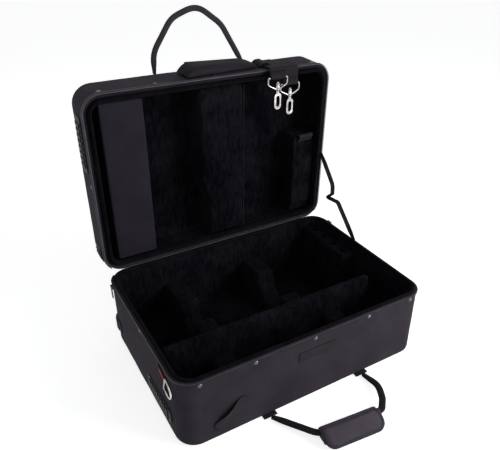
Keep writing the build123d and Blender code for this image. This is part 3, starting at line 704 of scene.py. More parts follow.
# %% [markdown]
# The lid's cloth is turned round a thin cord along its outer edge. The cord is painted pale, as a
# painted highlight for the one bright line round the open lid. A bevelled curve would give the cord
# too; rings of the plan keep it exactly on the cover's edge in the corners.


# %% Cord in the lid's edge, painted pale as a highlight
def around(count):
    """Angles that divide a full turn evenly."""
    return np.linspace(0, 2 * math.pi, count, endpoint=False)


cord_inset, cord_z, cord_radius = 1.3, lid_rim + 0.5, 0.8
rows = rings(
    (cord_inset - cord_radius * math.cos(a), cord_z + cord_radius * math.sin(a)) for a in around(8)
)
lid_edge = loft("lid_edge_cord", rows, pale_highlight_cord, "lid", "nylon", loop=True, turn=open_lid)
print("edge cord:", len(lid_edge.data.polygons), "faces")

# %% [markdown]
# ## The zip
#
# A nylon zip is a coil sewn to a tape. From a step away it reads as a row of slanted ticks, so
# each turn of the coil is a small slanted bar. An array modifier along a curve would also do it;
# writing the bars directly keeps every one square to the wall in the corners. The zip starts near
# the hinge on the left, runs round the front and ends near the hinge on the right.


# %% Route and teeth of the zip
def zip_route(offset, spacing):
    """Evenly spaced points round three sides, with outward directions, starting at the back left."""
    points, outward, _ = plan(-offset)
    start = 2 * long_steps + short_steps + 2 * corner_steps
    order = np.roll(np.arange(len(points)), -start)
    points, outward = points[order], outward[order]
    keep = points[:, 1] < half_depth - 9.5
    points, outward = points[keep], outward[keep]
    along = running(points, False)
    wanted = np.arange(0, along[-1], spacing)
    route = read_at(points, along, wanted)
    facing = read_at(outward, along, wanted)
    return route, facing / np.linalg.norm(facing, axis=1)[:, None]


def in_place(points):
    """The base is drawn where it stands: nothing to turn."""
    return np.asarray(points, float)


coil_spacing, coil_lean, tape_spacing = 2.3, 0.9, 5.0
coil_section = [(0.2, -0.7), (1.7, -0.75), (2.3, 0.0), (1.7, 0.75), (0.2, 0.7)]


def teeth(name, edge, away, body, turn, node_name):
    """Slanted coil bars and their tape, from the edge down the base (-1) or up the lid (1)."""
    low, high = sorted((edge, edge + 2.8 * away))
    tape_low, tape_high = sorted((edge + 2.7 * away, edge + 5.4 * away))
    route, facing = zip_route(0.0, coil_spacing)
    points, faces = [], []
    for (x, y), (nx, ny) in zip(route, facing):
        first = len(points)
        for z, lean in ((low, -coil_lean), (high, coil_lean)):
            for out, side in coil_section:
                along = side + lean
                points.append((x + nx * out - ny * along, y + ny * out + nx * along, z))
        for k in range(5):
            beside = (k + 1) % 5
            faces.append((first + k, first + beside, first + 5 + beside, first + 5 + k))
        faces += [tuple(first + k for k in range(5)), tuple(first + 9 - k for k in range(5))]
    made = make_piece(name, turn(points), faces, coil_nylon, body, "zip", stands_for=[node_name])
    route, facing = zip_route(0.0, tape_spacing)
    rows = []
    for out, z in ((0.1, tape_low), (0.8, tape_low + 0.1), (0.8, tape_high), (0.1, tape_high)):
        rows.append([(x + nx * out, y + ny * out, z) for (x, y), (nx, ny) in zip(route, facing)])
    tape_name = name + "_tape"
    loft(tape_name, rows, zip_tape_cloth, body, "zip", ring=False, loop=True, turn=turn)
    return made


base_teeth = teeth("base_zip_coil", rim, -1, "base", in_place, "base_zip_tape")
teeth("lid_zip_coil", lid_rim, 1, "lid", open_lid, "lid_zip_tape")
print("turns of the coil:", len(base_teeth.data.polygons) // 7)

# %% [markdown]
# Stitches are small slim beads laid end to end along a line. They cast their own tiny shadows,
# which a painted dash would not. One seam runs along each half of the zip's tape.

# %% Stitch helper, and the seams of the zip
stitch_length, stitch_gap = 3.2, 1.4


def stitches(name, line, outward, body, slot, radius=0.38, turn=in_place):
    """Row of stitches along a line of points, standing on the surface that faces outward."""
    line = np.asarray(line, float)
    outward = np.broadcast_to(np.asarray(outward, float), line.shape)
    along = running(line, False)
    points, faces = [], []
    for start in np.arange(stitch_gap, along[-1] - stitch_length, stitch_length + stitch_gap):
        centre = read_at(line, along, start)
        ahead = read_at(line, along, start + stitch_length)
        out = read_at(outward, along, start)
        side = np.cross(ahead - centre, out)
        side /= max(np.linalg.norm(side), 1e-9)
        first = len(points)
        for share, scale in ((0.0, 0.3), (0.25, 1.0), (0.75, 1.0), (1.0, 0.3)):
            middle = centre + (ahead - centre) * share
            for up, across in ((1, 0), (0, 1), (-0.6, 0), (0, -1)):
                points.append(middle + out * radius * scale * up + side * radius * scale * across)
        for a in range(first, first + 12, 4):
            for k in range(4):
                beside = (k + 1) % 4
                faces.append((a + k, a + beside, a + 4 + beside, a + 4 + k))
        faces += [tuple(first + k for k in (3, 2, 1, 0)), tuple(first + 12 + k for k in range(4))]
    return make_piece(name, turn(points), faces, stitch_thread, body, slot)


seam_out, seam_spacing, seam_from_edge = 0.9, 4.0, 4.2
route, facing = zip_route(seam_out, seam_spacing)
level = np.zeros(len(route))
tape_out = np.column_stack([facing, level])
base_line = np.column_stack([route, level + rim - seam_from_edge])
lid_line = np.column_stack([route, level + lid_rim + seam_from_edge])
base_seam = stitches("base_tape_seam", base_line, tape_out, "base", "zip")
stitches("lid_tape_seam", lid_line, tape_out, "lid", "zip", turn=open_lid)
print("stitches in each seam:", len(base_seam.data.polygons) // 14)

# %% [markdown]
# ## Foam pieces
#
# Inside, foam blocks are covered in the same plush. A foam block has soft edges, and the cloth
# pulls in a little along its faces. A cube with a bevel modifier has even, machined edges. Here a
# fine box is pressed on to a smaller one: each point moves to a fixed distance from the inner box,
# which rounds all edges at once, and then slow noise makes the faces uneven.


# %% Soft box helper
def box_lattice(low, high, radius, spacing):
    """Cuts along one side: close together at the rounded ends, then even."""
    inner = np.linspace(low + radius, high - radius, max(2, int((high - low - 2 * radius) / spacing) + 1))
    ends = np.array([0.0, 0.3, 0.65]) * radius
    return np.concatenate([low + ends, inner, (high - ends)[::-1]])


def soft_box(low, high, radius, spacing=12.0, swell=0.0, uneven=0.4, grain=40.0):
    """Points and faces of a soft-edged box. swell crowns each face, uneven is the noise's height."""
    low, high = np.array(low, float), np.array(high, float)
    cuts = [box_lattice(low[k], high[k], radius, spacing) for k in range(3)]
    counts = [len(c) for c in cuts]
    numbers, points = {}, []

    def number(i, j, k):
        key = (i, j, k)
        if key not in numbers:
            numbers[key] = len(points)
            points.append([cuts[0][i], cuts[1][j], cuts[2][k]])
        return numbers[key]

    faces = []
    for axis in range(3):
        first, second = [k for k in range(3) if k != axis]
        for end in (0, counts[axis] - 1):
            for a in range(counts[first] - 1):
                for b in range(counts[second] - 1):
                    corner = []
                    for da, db in ((0, 0), (1, 0), (1, 1), (0, 1)):
                        index = [0, 0, 0]
                        index[axis], index[first], index[second] = end, a + da, b + db
                        corner.append(number(*index))
                    faces.append(corner)
    p = np.array(points)
    core = np.clip(p, low + radius, high - radius)
    away = p - core
    size = np.linalg.norm(away, axis=1)
    size[size < 1e-9] = 1
    facing = away / size[:, None]
    p = core + facing * radius
    share = (p - low) / np.maximum(high - low, 1e-9)
    belly = np.ones(len(p))
    for k in range(3):
        hump = np.clip(4 * share[:, k] * (1 - share[:, k]), 0, 1) ** 0.5
        belly *= np.where(np.abs(facing[:, k]) > 0.9, 1, hump)
    drift = np.array([wander(q, grain) for q in p])
    return p + facing * (swell * belly + uneven * drift)[:, None], faces


def box_uvs(points, faces):
    """UV in mm for each face corner, seen along the direction the face looks in."""
    uvs = []
    for face in faces:
        corner = points[list(face)]
        normal = np.abs(np.cross(corner[1] - corner[0], corner[2] - corner[0]))
        keep = [k for k in range(3) if k != int(normal.argmax())]
        uvs += [tuple(q[keep]) for q in corner]
    return uvs


def cushion(name, low, high, radius, material, body, slot, turn=in_place, stands_for=(), **shape):
    """Soft box as a piece of the case."""
    points, faces = soft_box(low, high, radius, **shape)
    uvs = box_uvs(points, faces)
    return make_piece(name, turn(points), faces, material, body, slot, uvs, stands_for)


print("soft box helper is ready")

# %% [markdown]
# Blender's cloth simulation then blows such a form up with a little pressure, as stuffing does.
# It works on an evenly remeshed copy. Each point may move only a few millimetres, so the piece
# stays clear of its neighbours, and what rests on something stays flat.


# %% Helper that fills a form with stuffing
def evaluated(thing):
    """New mesh of an object with its modifiers applied."""
    bpy.context.view_layer.update()
    return bpy.data.meshes.new_from_object(thing.evaluated_get(bpy.context.evaluated_depsgraph_get()))


def places_of(mesh):
    return np.array([v.co for v in mesh.vertices], float)


def blow(work, frames=20, pressure=4.0):
    """Run the cloth simulation on an object, and return how far each of its points moved."""
    scene = bpy.context.scene
    cloth = work.modifiers.new("cloth", "CLOTH")
    cloth.settings.quality = 5
    cloth.settings.mass = 0.2
    cloth.settings.use_pressure = True
    cloth.settings.uniform_pressure_force = pressure
    cloth.settings.effector_weights.gravity = 0.0
    cloth.point_cache.frame_start, cloth.point_cache.frame_end = 1, frames
    for step in range(1, frames + 1):
        scene.frame_set(step)
    blown = work.evaluated_get(bpy.context.evaluated_depsgraph_get()).to_mesh()
    move = places_of(blown) - places_of(work.data)
    scene.frame_set(1)
    return move


def puffed(piece, most, voxel, rests=None):
    """Blow a closed piece up as cloth, by at most `most` mm. rests marks points that stay put."""
    started = time.time()
    work = bpy.data.objects.new(piece.name + "_work", piece.data.copy())
    bpy.context.scene.collection.objects.link(work)
    remesh = work.modifiers.new("remesh", "REMESH")
    remesh.mode = "VOXEL"
    remesh.voxel_size = voxel / 1000
    even_mesh = evaluated(work)
    work.modifiers.remove(remesh)
    work.data = even_mesh
    before = places_of(even_mesh)
    move = blow(work)
    far = np.linalg.norm(move, axis=1)
    limit = most / 1000
    move *= (limit * np.tanh(far / limit) / np.maximum(far, 1e-9))[:, None]
    if rests is not None:
        move[rests(before * 1000)] = 0
    bpy.data.objects.remove(work)
    mesh = bpy.data.meshes.new(piece.name)
    faces = [tuple(f.vertices) for f in even_mesh.polygons]
    mesh.from_pydata((before + move).tolist(), [], faces)
    mesh.materials.append(piece.data.materials[0])
    mesh.polygons.foreach_set("use_smooth", [True] * len(mesh.polygons))
    finer = bpy.data.objects.new(piece.name + "_finer", mesh)
    bpy.context.scene.collection.objects.link(finer)
    finer.modifiers.new("subdivision", "SUBSURF").levels = 1
    smooth = evaluated(finer)
    bpy.data.objects.remove(finer)
    layer = smooth.uv_layers.new(name="UVMap")
    uvs = box_uvs(places_of(smooth), [tuple(f.vertices) for f in smooth.polygons])
    layer.data.foreach_set("uv", np.asarray(uvs, float).ravel())
    piece.data = smooth
    print(piece.name, "puffed in", round(time.time() - started, 1), "s,", len(smooth.vertices), "points")


print("stuffing helper is ready")

# %% [markdown]
# The divider is a long foam wall between the two bays. It stands on the lining, so its lowest
# points stay where they are while the rest is blown up.

# %% Divider between the bays
divider = cushion(
    "divider_foam", (-267.6, -87.5, 11), (227.6, -68.5, 149.8), 7.5, plush, "base", "plush",
    swell=0.3, uneven=0.9, stands_for=["bay_divider"],
)
foot = 16
puffed(divider, 1.5, 6.0, rests=lambda p: p[:, 2] < foot)
print("divider:", len(divider.data.polygons), "faces")

# %% [markdown]
# The cross pieces have a round-bottomed notch for what lies across them. Their outline is drawn
# once, in the plane across the case, and then given thickness with soft edges: the outline is
# drawn in a little on the first and last rings.


# %% Notched cross pieces
def drawn_in(outline, amount):
    """Closed outline moved inwards by amount, by the mean direction of its two edges."""
    before, after = np.roll(outline, 1, axis=0), np.roll(outline, -1, axis=0)
    along = after - before
    along /= np.maximum(np.linalg.norm(along, axis=1), 1e-9)[:, None]
    return outline - np.column_stack([along[:, 1], -along[:, 0]]) * amount


def even(outline, spacing):
    """Closed outline resampled to even steps."""
    along = running(outline, True)
    closed = np.vstack([outline, outline[:1]])
    wanted = np.linspace(0, along[-1], max(12, int(along[-1] / spacing)), endpoint=False)
    return read_at(closed, along, wanted)


def arc(centre, radius, start, end, count):
    """Points on a circle from one angle to another."""
    angles = np.linspace(start, end, count)
    return [(centre[0] + radius * math.cos(a), centre[1] + radius * math.sin(a)) for a in angles]


def notch_outline(y_low, y_high, top, notch):
    """Cross piece seen along the case: flat foot, round shoulders, a round-bottomed notch."""
    foot, notch_depth, shoulder, quarter = 11.2, 14.0, 7.0, math.pi / 2
    middle, level = (y_low + y_high) / 2, top - shoulder
    points = [(y_low, foot), (y_high, foot)]
    points += arc((y_high - shoulder, level), shoulder, 0, quarter, 6)
    points += arc((middle + notch + shoulder, level), shoulder, quarter, math.pi, 5)
    points += arc((middle, top - notch_depth), notch, -0.05, 0.05 - math.pi, 19)
    points += arc((middle - notch - shoulder, level), shoulder, 0, quarter, 5)
    points += arc((y_low + shoulder, level), shoulder, quarter, math.pi, 6)
    return np.array(points)


piece_thick = 44
soft_face = [(5, 0), (2.6, 0.6), (0.8, 2.2), (0, 5)]
soft_steps = soft_face + [(0, 14), (0, 22), (0, 30)]
soft_steps += [(inset, piece_thick - depth) for inset, depth in reversed(soft_face)]


def cross_piece(name, x, y_low, y_high, top, notch):
    """One notched piece. The outline is not star-shaped, so its end faces are single faces."""
    outline = even(notch_outline(y_low, y_high, top, notch), 4.0)
    rows = []
    for inset, depth in soft_steps:
        line = drawn_in(outline, inset)
        level = np.full(len(line), x - piece_thick / 2 + depth)
        rows.append(np.column_stack([level, line[:, 0], line[:, 1]]))
    rows = np.array(rows)
    drift = np.array([[wander(q, 28.0) for q in row] for row in rows])
    rows += drift[:, :, None] * np.array((0.9, 0.3, 0.3))
    return loft(name, rows, plush, "base", "plush", caps=True)


def joined(name, pieces, stands_for=()):
    """Join pieces on one body into the first and give it a name."""
    with bpy.context.temp_override(active_object=pieces[0], selected_editable_objects=pieces):
        bpy.ops.object.join()
    pieces[0].name = name
    if stands_for:
        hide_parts(*stands_for)
    return pieces[0]


back_low, back_high, back_top = -67.6, 185.2, 96
front_low, front_high, front_top = -185.2, -88.4, 92
back_pieces = [
    cross_piece("saddle_1", -135, back_low, back_high, back_top, 34),
    cross_piece("saddle_2", 70, back_low, back_high, back_top, 46),
]
back_saddles = joined("back_bay_cross_pieces", back_pieces, ["back_bay_saddles"])
front_pieces = [
    cross_piece("saddle_3", -150, front_low, front_high, front_top, 15),
    cross_piece("saddle_4", 120, front_low, front_high, front_top, 24),
]
front_saddles = joined("front_bay_cross_pieces", front_pieces, ["front_bay_saddles"])
print("cross pieces:", back_saddles.name, front_saddles.name)

# %% [markdown]
# The small foam block on the right has four round sockets. The box is made with a fine grid and
# the holes are cut with a boolean modifier, which is then applied. The edge of each hole gets a
# soft roll of its own, as the plush is tucked into it.

# %% Foam block with sockets
socket_foam = cushion(
    "socket_foam", (228.2, 17.2, 11), (267.6, 182.8, 139.8), 7, plush, "base", "plush",
    uneven=0.5, spacing=7.0,
)
sockets = [(248, 41.5 + 39 * index) for index in range(4)]
for x, y in sockets:
    bpy.ops.mesh.primitive_cylinder_add(
        vertices=40, radius=0.0082, depth=0.056, location=(x / 1000, y / 1000, 0.1135)
    )
    drill = bpy.context.object
    cut = socket_foam.modifiers.new("socket", "BOOLEAN")
    cut.object = drill
    cut.operation = "DIFFERENCE"
    cut.solver = "EXACT"
    bpy.context.view_layer.objects.active = socket_foam
    bpy.ops.object.modifier_apply(modifier=cut.name)
    bpy.data.objects.remove(drill)
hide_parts("socket_block")
print("socket foam:", len(socket_foam.data.polygons), "faces")

# %% [markdown]
# The plush is tucked into each socket and stands up round it in a soft roll. The roll is a ring
# with a small oval section, swept round the hole's edge.


# %% Rolls round the sockets
def rolled_rim(name, centre, radius, thick):
    """Soft ring round a hole: a section of eight points swept round the hole's edge."""
    rows = []
    for angle in around(8):
        reach = radius + thick * math.cos(angle)
        height = centre[2] + thick * 0.7 * math.sin(angle)
        x, y = centre[:2]
        rows.append([(x + reach * math.cos(a), y + reach * math.sin(a), height) for a in around(32)])
    return loft(name, rows, plush, "base", "plush", loop=True)


rims = [rolled_rim(f"socket_rim_{k}", (x, y, 139.5), 9.0, 1.1) for k, (x, y) in enumerate(sockets)]
joined("socket_rims", rims)
print("rolls round the sockets:", len(rims))

# %% [markdown]
# ## What the lid holds
#
# On the left a flat pocket has a smooth woven cover. In the middle a tall foam block presses on
# the load when the lid is shut. On the right a small box has a door with a pull at its top.

# %% Hold-down block
def block_shape(points):
    """Open the lid on the block, with the broader upper part on its left side."""
    p = np.array(points, float)
    from_hinge_line = half_depth - p[:, 1]
    upper = np.clip((from_hinge_line - 118) / 44, 0, 1)
    deep = np.clip((p[:, 2] - 164.2) / 15, 0, 1)
    left = np.clip((61.8 - p[:, 0]) / 89.6, 0, 1)
    p[:, 0] -= (13 + 4 * deep) * upper * left
    return open_lid(p)


hold_down = cushion(
    "hold_down_foam", (-27.8, half_depth - 373.8, 164.2), (61.8, half_depth - 24.2, 229.8), 4,
    plush, "lid", "plush", turn=block_shape, swell=0.4, uneven=0.9, stands_for=["hold_down_block"],
)
glued_from = 255
puffed(hold_down, 1.0, 6.0, rests=lambda p: p[:, 1] > glued_from)
print("hold-down block:", len(hold_down.data.polygons), "faces")

# %% [markdown]
# The pocket and the box are trays of thin padded walls. Each wall is a flat soft box, and the walls
# of a tray are joined. One box with its inside cut out would have sharper, harder corners.


# %% Pocket, box, and what closes them
def walls(name, sides, stands_for):
    """Thin plush-covered walls joined into one tray."""
    made = []
    for index, (x_low, x_high, near, far, low, high) in enumerate(sides):
        box_low = (x_low, half_depth - far, base_height + low)
        box_high = (x_high, half_depth - near, base_height + high)
        wall_name = f"{name}_{index}"
        made.append(
            cushion(wall_name, box_low, box_high, 1.6, plush, "lid", "plush", turn=open_lid, uneven=0.3)
        )
    return joined(name, made, stands_for)


pocket_z, box_z, back_z, wall_z = 14.6, 17.6, 65, 69.8
pocket_sides = [
    (-246, -241, 22, 372, pocket_z, wall_z), (-165, -160, 22, 372, pocket_z, wall_z),
    (-244, -162, 22, 27, pocket_z, wall_z), (-244, -162, 367, 372, pocket_z, wall_z),
    (-244, -162, 24, 370, back_z, wall_z),
]
pocket_walls = walls("pocket_walls", pocket_sides, ["lid_pocket"])
box_sides = [
    (202, 207, 22, 224, box_z, wall_z), (255, 260, 22, 224, box_z, wall_z),
    (204, 258, 22, 27, box_z, wall_z), (204, 258, 219, 224, box_z, wall_z),
    (204, 258, 24, 222, back_z, wall_z), (204, 258, 22, 41.6, box_z, 22.4),
]
box_walls = walls("box_walls", box_sides, ["accessory_box"])
cover = cushion(
    "pocket_cover", (-246, half_depth - 372, 169), (-160, half_depth - 22, 173.8), 2.3,
    panel_weave, "pocket_flap", "panel_weave", turn=open_lid, swell=0.6, uneven=0.25,
    stands_for=["pocket_flap"],
)
door = cushion(
    "box_door_panel", (202.2, half_depth - 223.8, 172.1), (259.8, half_depth - 42.2, 176.9), 2.3,
    plush, "box_door", "plush", turn=open_lid, swell=0.5, uneven=0.3, stands_for=["box_door"],
)
print("trays:", pocket_walls.name, box_walls.name, "closed by:", cover.name, door.name)

# %% [markdown]
# The pocket's cover is sewn along its edge. The stitch helper only needs the corners of the seam,
# because it measures its steps along straight lines by itself.

# %% Seam round the pocket's cover
seam_z = 8.9
seam_corners = [(-242, 26), (-164, 26), (-164, 368), (-242, 368), (-242, 26)]
cover_seam = stitches(
    "pocket_cover_seam", [from_hinge(x, far, seam_z) for x, far in seam_corners], (0, 0, -1),
    "pocket_flap", "panel_weave", radius=0.3, turn=open_lid,
)
print("seam:", len(cover_seam.data.polygons) // 14, "stitches")

# %% [markdown]
# ## Webbing
#
# Straps are woven ribbons. Each is swept along a route that is read from a few points: a soft
# curve that rounds the corners, with a flat section that is a little thicker at its edges. Width
# and thickness may change along the way, so a strap can be folded in the middle and flat at its
# ends.


# %% Helpers for routes and sections
def rounded_route(points, radii, spacing=4.0):
    """Open route through points with its corners rounded, in even steps."""
    points = [np.asarray(p, float) for p in points]
    if np.isscalar(radii):
        radii = [radii] * (len(points) - 2)
    line = [points[0]]
    for before, corner, after, radius in zip(points, points[1:], points[2:], radii):
        back = (before - corner) / np.linalg.norm(before - corner)
        ahead = (after - corner) / np.linalg.norm(after - corner)
        half_turn = math.acos(np.clip(np.dot(-back, ahead), -1, 1)) / 2
        cut = radius * math.tan(half_turn)
        cut = min(cut, 0.48 * np.linalg.norm(before - corner), 0.48 * np.linalg.norm(after - corner))
        a, b = corner + back * cut, corner + ahead * cut
        pull = 0.75 if half_turn > 0.3 else 0.67
        ca, cb = a + (corner - a) * pull, b + (corner - b) * pull
        for t in np.linspace(0, 1, 14):
            line.append((1 - t) ** 3 * a + 3 * (1 - t) ** 2 * t * ca + 3 * (1 - t) * t * t * cb + t ** 3 * b)
    line.append(points[-1])
    line = np.array(line)
    along = running(line, False)
    return read_at(line, along, np.linspace(0, along[-1], max(3, int(along[-1] / spacing))))


def ribbon_section(width, thick):
    """Flat section with slightly thicker edges, anticlockwise: (across, up)."""
    w, t = width / 2, thick / 2
    half = [
        (-w + 0.25 * t, t), (-w * 0.82, t), (-w * 0.72, t * 0.8), (0, t * 0.85), (w * 0.72, t * 0.8),
        (w * 0.82, t), (w - 0.25 * t, t),
    ]
    return [(-w, 0)] + [(a, -b) for a, b in half] + [(w, 0)] + half[::-1]


def folded_section(width, thick):
    """Webbing folded lengthwise and sewn: round on one side, two edges and a groove on the other."""
    w, t = width / 2, thick / 2
    return [
        (-w, -t * 0.2), (-w * 0.86, -t * 0.75), (-w * 0.5, -t), (0, -t), (w * 0.5, -t),
        (w * 0.86, -t * 0.8), (w, -t * 0.45), (w * 0.97, -t * 0.12), (w * 0.74, 0),
        (w * 0.97, t * 0.12), (w, t * 0.45), (w * 0.86, t * 0.8), (w * 0.5, t), (0, t),
        (-w * 0.5, t), (-w * 0.86, t * 0.75), (-w, t * 0.2),
    ]


print("a ribbon's section has", len(ribbon_section(38, 1.6)), "points")

# %% [markdown]
# The sweep needs one direction besides the route: that of the strap's width, or that of its
# thickness. A curve object with a bevel shape would guess it, and would twist in the turns.

# %% Strap helper


def strap(
    name, route, material, body, slot, width, thick,
    across=None, up=None, section=ribbon_section, turn=in_place, **more,
):
    """Sweep a section along a route. across points along its width, or up along its thickness."""
    route = np.asarray(route, float)
    count = len(route)
    if across is not None:
        across = np.broadcast_to(np.asarray(across, float), (count, 3)).copy()
    width = np.broadcast_to(np.asarray(width, float), (count,))
    thick = np.broadcast_to(np.asarray(thick, float), (count,))
    tangent = np.gradient(route, axis=0)
    tangent /= np.maximum(np.linalg.norm(tangent, axis=1), 1e-9)[:, None]
    if across is None:
        across = np.cross(np.broadcast_to(np.asarray(up, float), (count, 3)), tangent)
    rows = []
    for point, ahead, side, w, t in zip(route, tangent, across, width, thick):
        side = side - ahead * side.dot(ahead)
        side /= np.linalg.norm(side)
        above = np.cross(ahead, side)
        rows.append([point + side * a + above * b for a, b in section(w, t)])
    return loft(name, rows, material, body, slot, caps=True, turn=turn, **more)


def plain_strap(name, route, body, width, thick, **more):
    """Strap of the case's plain webbing."""
    return strap(name, route, webbing, body, "webbing", width, thick, **more)


print("strap helpers are ready")

# %% [markdown]
# Both handles are webbing folded in half lengthwise. At each end the fold opens and the flat
# webbing is sewn to the case under a cross-stitched tab, so the strap is narrow and deep in the
# loop and wide and thin at its roots.

# %% Handle on the lid
def eased(count, at_ends, inside, reach):
    """Values that are at_ends at both ends and inside beyond reach points from them."""
    index = np.arange(count)
    near = np.minimum(index, count - 1 - index) / reach
    share = np.clip(near, 0, 1)
    share = share * share * (3 - 2 * share)
    return at_ends + (inside - at_ends) * share


lid_pin_far, lid_pin_high = 392.0, 85.8
loop_points = [(-104, 0), (-103, 42), (-60, 106), (-4, 127), (51, 86), (102, 0)]
route = rounded_route([from_hinge(x, lid_pin_far + h, lid_pin_high) for x, h in loop_points], [60, 60, 60, 70], 3.5)
count = len(route)
lid_loop = strap(
    "lid_handle_strap", route, pale_webbing, "lid_handle", "webbing",
    width=eased(count, 4.4, 11.6, 7), thick=eased(count, 15.0, 6.8, 7), up=(0, 0, 1),
    section=folded_section, turn=open_lid, stands_for=["lid_handle"],
)
print("lid handle:", count, "steps,", len(lid_loop.data.polygons), "faces")

# %% [markdown]
# The flat ends are sewn to the lid's top with a box of stitches and a cross in it, the usual seam
# for a strap that takes load.

# %% Tabs of the lid's handle
tab_x = (loop_points[0][0], loop_points[-1][0])
tab_near, tab_far, seam_far = lid_pin_far - 54, lid_pin_far - 1, lid_pin_far - 14


def cross_seam(name, x):
    """Box of stitches with a cross in it. The cross stops just short of its last corner."""
    w, z = 38 / 2 - 4, lid_top + 2.2
    a, b = half_depth - tab_near - 4, half_depth - seam_far + 4
    end = (x - w + 2 * w / 12, b + (a - b) / 12)
    box = [(x - w, a), (x + w, a), (x + w, b), (x - w, b), (x - w, a)]
    line = [(p, q, z) for p, q in box + [(x + w, b), (x + w, a), end]]
    return stitches(name, line, (0, 0, 1), "lid", "webbing", turn=open_lid, radius=0.35)


tabs = []
for index, x in enumerate(tab_x):
    ends = [from_hinge(x, far, lid_height + 1.15) for far in (tab_near, tab_far)]
    tabs.append(
        plain_strap(
            f"lid_tab_{index}", rounded_route(ends, []), "lid", 38, 1.9, across=(1, 0, 0), turn=open_lid
        )
    )
    cross_seam(f"lid_tab_seam_{index}", x)
lid_tabs = joined("lid_handle_roots", tabs, ["lid_handle_tabs"])
print("lid handle roots:", lid_tabs.name)

# %% [markdown]
# The other handle lies on the ground in front of the case. Its loop rises slightly towards the
# padded grip. The grip is a wrap of padded cloth, closed over the strap, with a bound edge.

# %% Handle on the base
base_pin_y, base_pin_z = -half_depth - 10.5, 3.8
base_tilt = math.radians(6.8)


def on_ground(a, b):
    """Point of the lower handle: a along the case, b away from it."""
    y, z = swung(-base_tilt, -b, 0.0)
    return (a, base_pin_y + y, base_pin_z + z)


ground_points = [(-101, 0), (-50, 88), (86, 102), (109, 78), (128, 44), (124, 0)]
route = rounded_route([on_ground(a, b) for a, b in ground_points], [40, 16, 60, 60], 3.5)
count = len(route)
origin = np.array(on_ground(0, 0))
ground_up = -np.cross(on_ground(1, 0) - origin, on_ground(0, 1) - origin)
base_loop = strap(
    "base_handle_strap", route, webbing, "base_handle", "webbing",
    width=eased(count, 9.4, 13.6, 8), thick=eased(count, 6.6, 7.0, 8), up=ground_up,
    section=folded_section, stands_for=["base_handle"],
)
tabs = []
for index, x in enumerate((ground_points[0][0], ground_points[-1][0])):
    line = rounded_route([(x, -half_depth + 12, 1.4), (x, -half_depth - 6.6, 1.4)], [])
    tabs.append(plain_strap(f"base_tab_{index}", line, "base", 30, 1.9, across=(1, 0, 0)))
joined("base_handle_roots", tabs, ["base_handle_tabs"])
print("base handle:", count, "steps,", len(base_loop.data.polygons), "faces")

# %% [markdown]
# The grip is cut as one closed form: a round core about the strap, and a tail of padded cloth that
# runs down to the ground on the case's side. It is drawn in its own axes, along the grip, towards
# the case and up, and then turned to where the strap's front run lies.

# %% Grip round the base handle
grip_length, core_back, core_radius = 127, 4.5, 9.4
grip_start, grip_end = np.array(ground_points[1], float), np.array(ground_points[2], float)
grip_place = np.array(on_ground(*grip_start))
grip_turn = math.atan2(*(grip_end - grip_start)[::-1])
ground = 0.5 - grip_place[2]


def at_grip(points):
    """From the grip's own axes (along, towards the case, up) to the case's."""
    p = np.asarray(points, float)
    x, y = swung(-grip_turn, p[:, 0], p[:, 1])
    return np.column_stack([x, y, p[:, 2]]) + grip_place


def grip_section(x):
    """Closed section at one place along the grip: (towards the case, up)."""
    small = 1 - 0.35 * max(0, 1 - min(x, grip_length - x) / 3.0) ** 2
    section = arc((core_back, 0), core_radius * small, math.radians(-60), math.radians(100), 13)
    section += [(-4, 7.6 * small), (-9, 2.4), (-13.5, ground + 5.4), (-17.5, ground + 4.9)]
    section += [(-18.9, ground + 2.6), (-17.8, ground + 0.6), (-12, ground), (-4, ground)]
    return section + [(2, ground)]


grip_stations = [0.3, 0.9, 2.4, 5, *range(14, 113, 14), 121.5, 124.5, 126, 126.7]
rows = [[(x, y, z) for y, z in grip_section(x)] for x in grip_stations]
wrap = loft(
    "grip_padding", rows, padding_cloth, "base_handle", "padding", caps=True, turn=at_grip,
    stands_for=["grip_wrap"],
)
on_the_ground = 1.4
puffed(wrap, 1.2, 3.0, rests=lambda p: p[:, 2] < on_the_ground)
print("grip:", len(wrap.data.polygons), "faces")

# %% [markdown]
# The flap closes the grip. It is a padded leaf with two round corners, hinged along the top of the
# core, and it slopes down over the outside. Two skins, the upper one crowned, are sewn at the edge.


# %% Flap of the grip
flap_slope, flap_far, flap_corner = math.radians(32), 42.0, 19.0


def on_flap(points):
    """From the flap's axes (along, out from its fold, up) to the case's."""
    p = np.asarray(points, float)
    y, z = swung(flap_slope, 4 - p[:, 1], p[:, 2] + 10.3)
    return at_grip(np.column_stack([p[:, 0], core_back + y, z]))


def flap_reach(x):
    """How far the flap reaches at one place along it, with its front corners rounded."""
    near = min(x, grip_length - x)
    if near >= flap_corner:
        return flap_far
    return flap_far - flap_corner + math.sqrt(max(flap_corner ** 2 - (flap_corner - near) ** 2, 0))


def flap_skin(depth, swell):
    """Rows of the flap's upper or lower skin."""
    left, right = [0.2, 1.0, 2.4, 4.5, 7.5, 11], [116, 119.5, 122.5, 124.6, 126, 126.8]
    rows = []
    for x in [*left, *np.linspace(15, 112, 15), *right]:
        far = flap_reach(x) - 0.4
        full = min(1, min(x, grip_length - x) / 12)
        rows.append([
            (x, share * far, depth + swell * math.sin(math.pi * share) ** 0.6 * full)
            for share in (0.02, 0.08, 0.2, 0.35, 0.5, 0.65, 0.8, 0.9, 0.96, 1.0)
        ])
    return rows


rows = [upper + lower[::-1] for upper, lower in zip(flap_skin(4.0, 2.4), flap_skin(0.4, 0.0))]
flap = loft(
    "grip_flap_padding", rows, padding_cloth, "grip_flap", "padding", caps=True, turn=on_flap,
    stands_for=["grip_flap"],
)
puffed(flap, 2.2, 2.6)
print("flap:", len(flap.data.polygons), "faces")

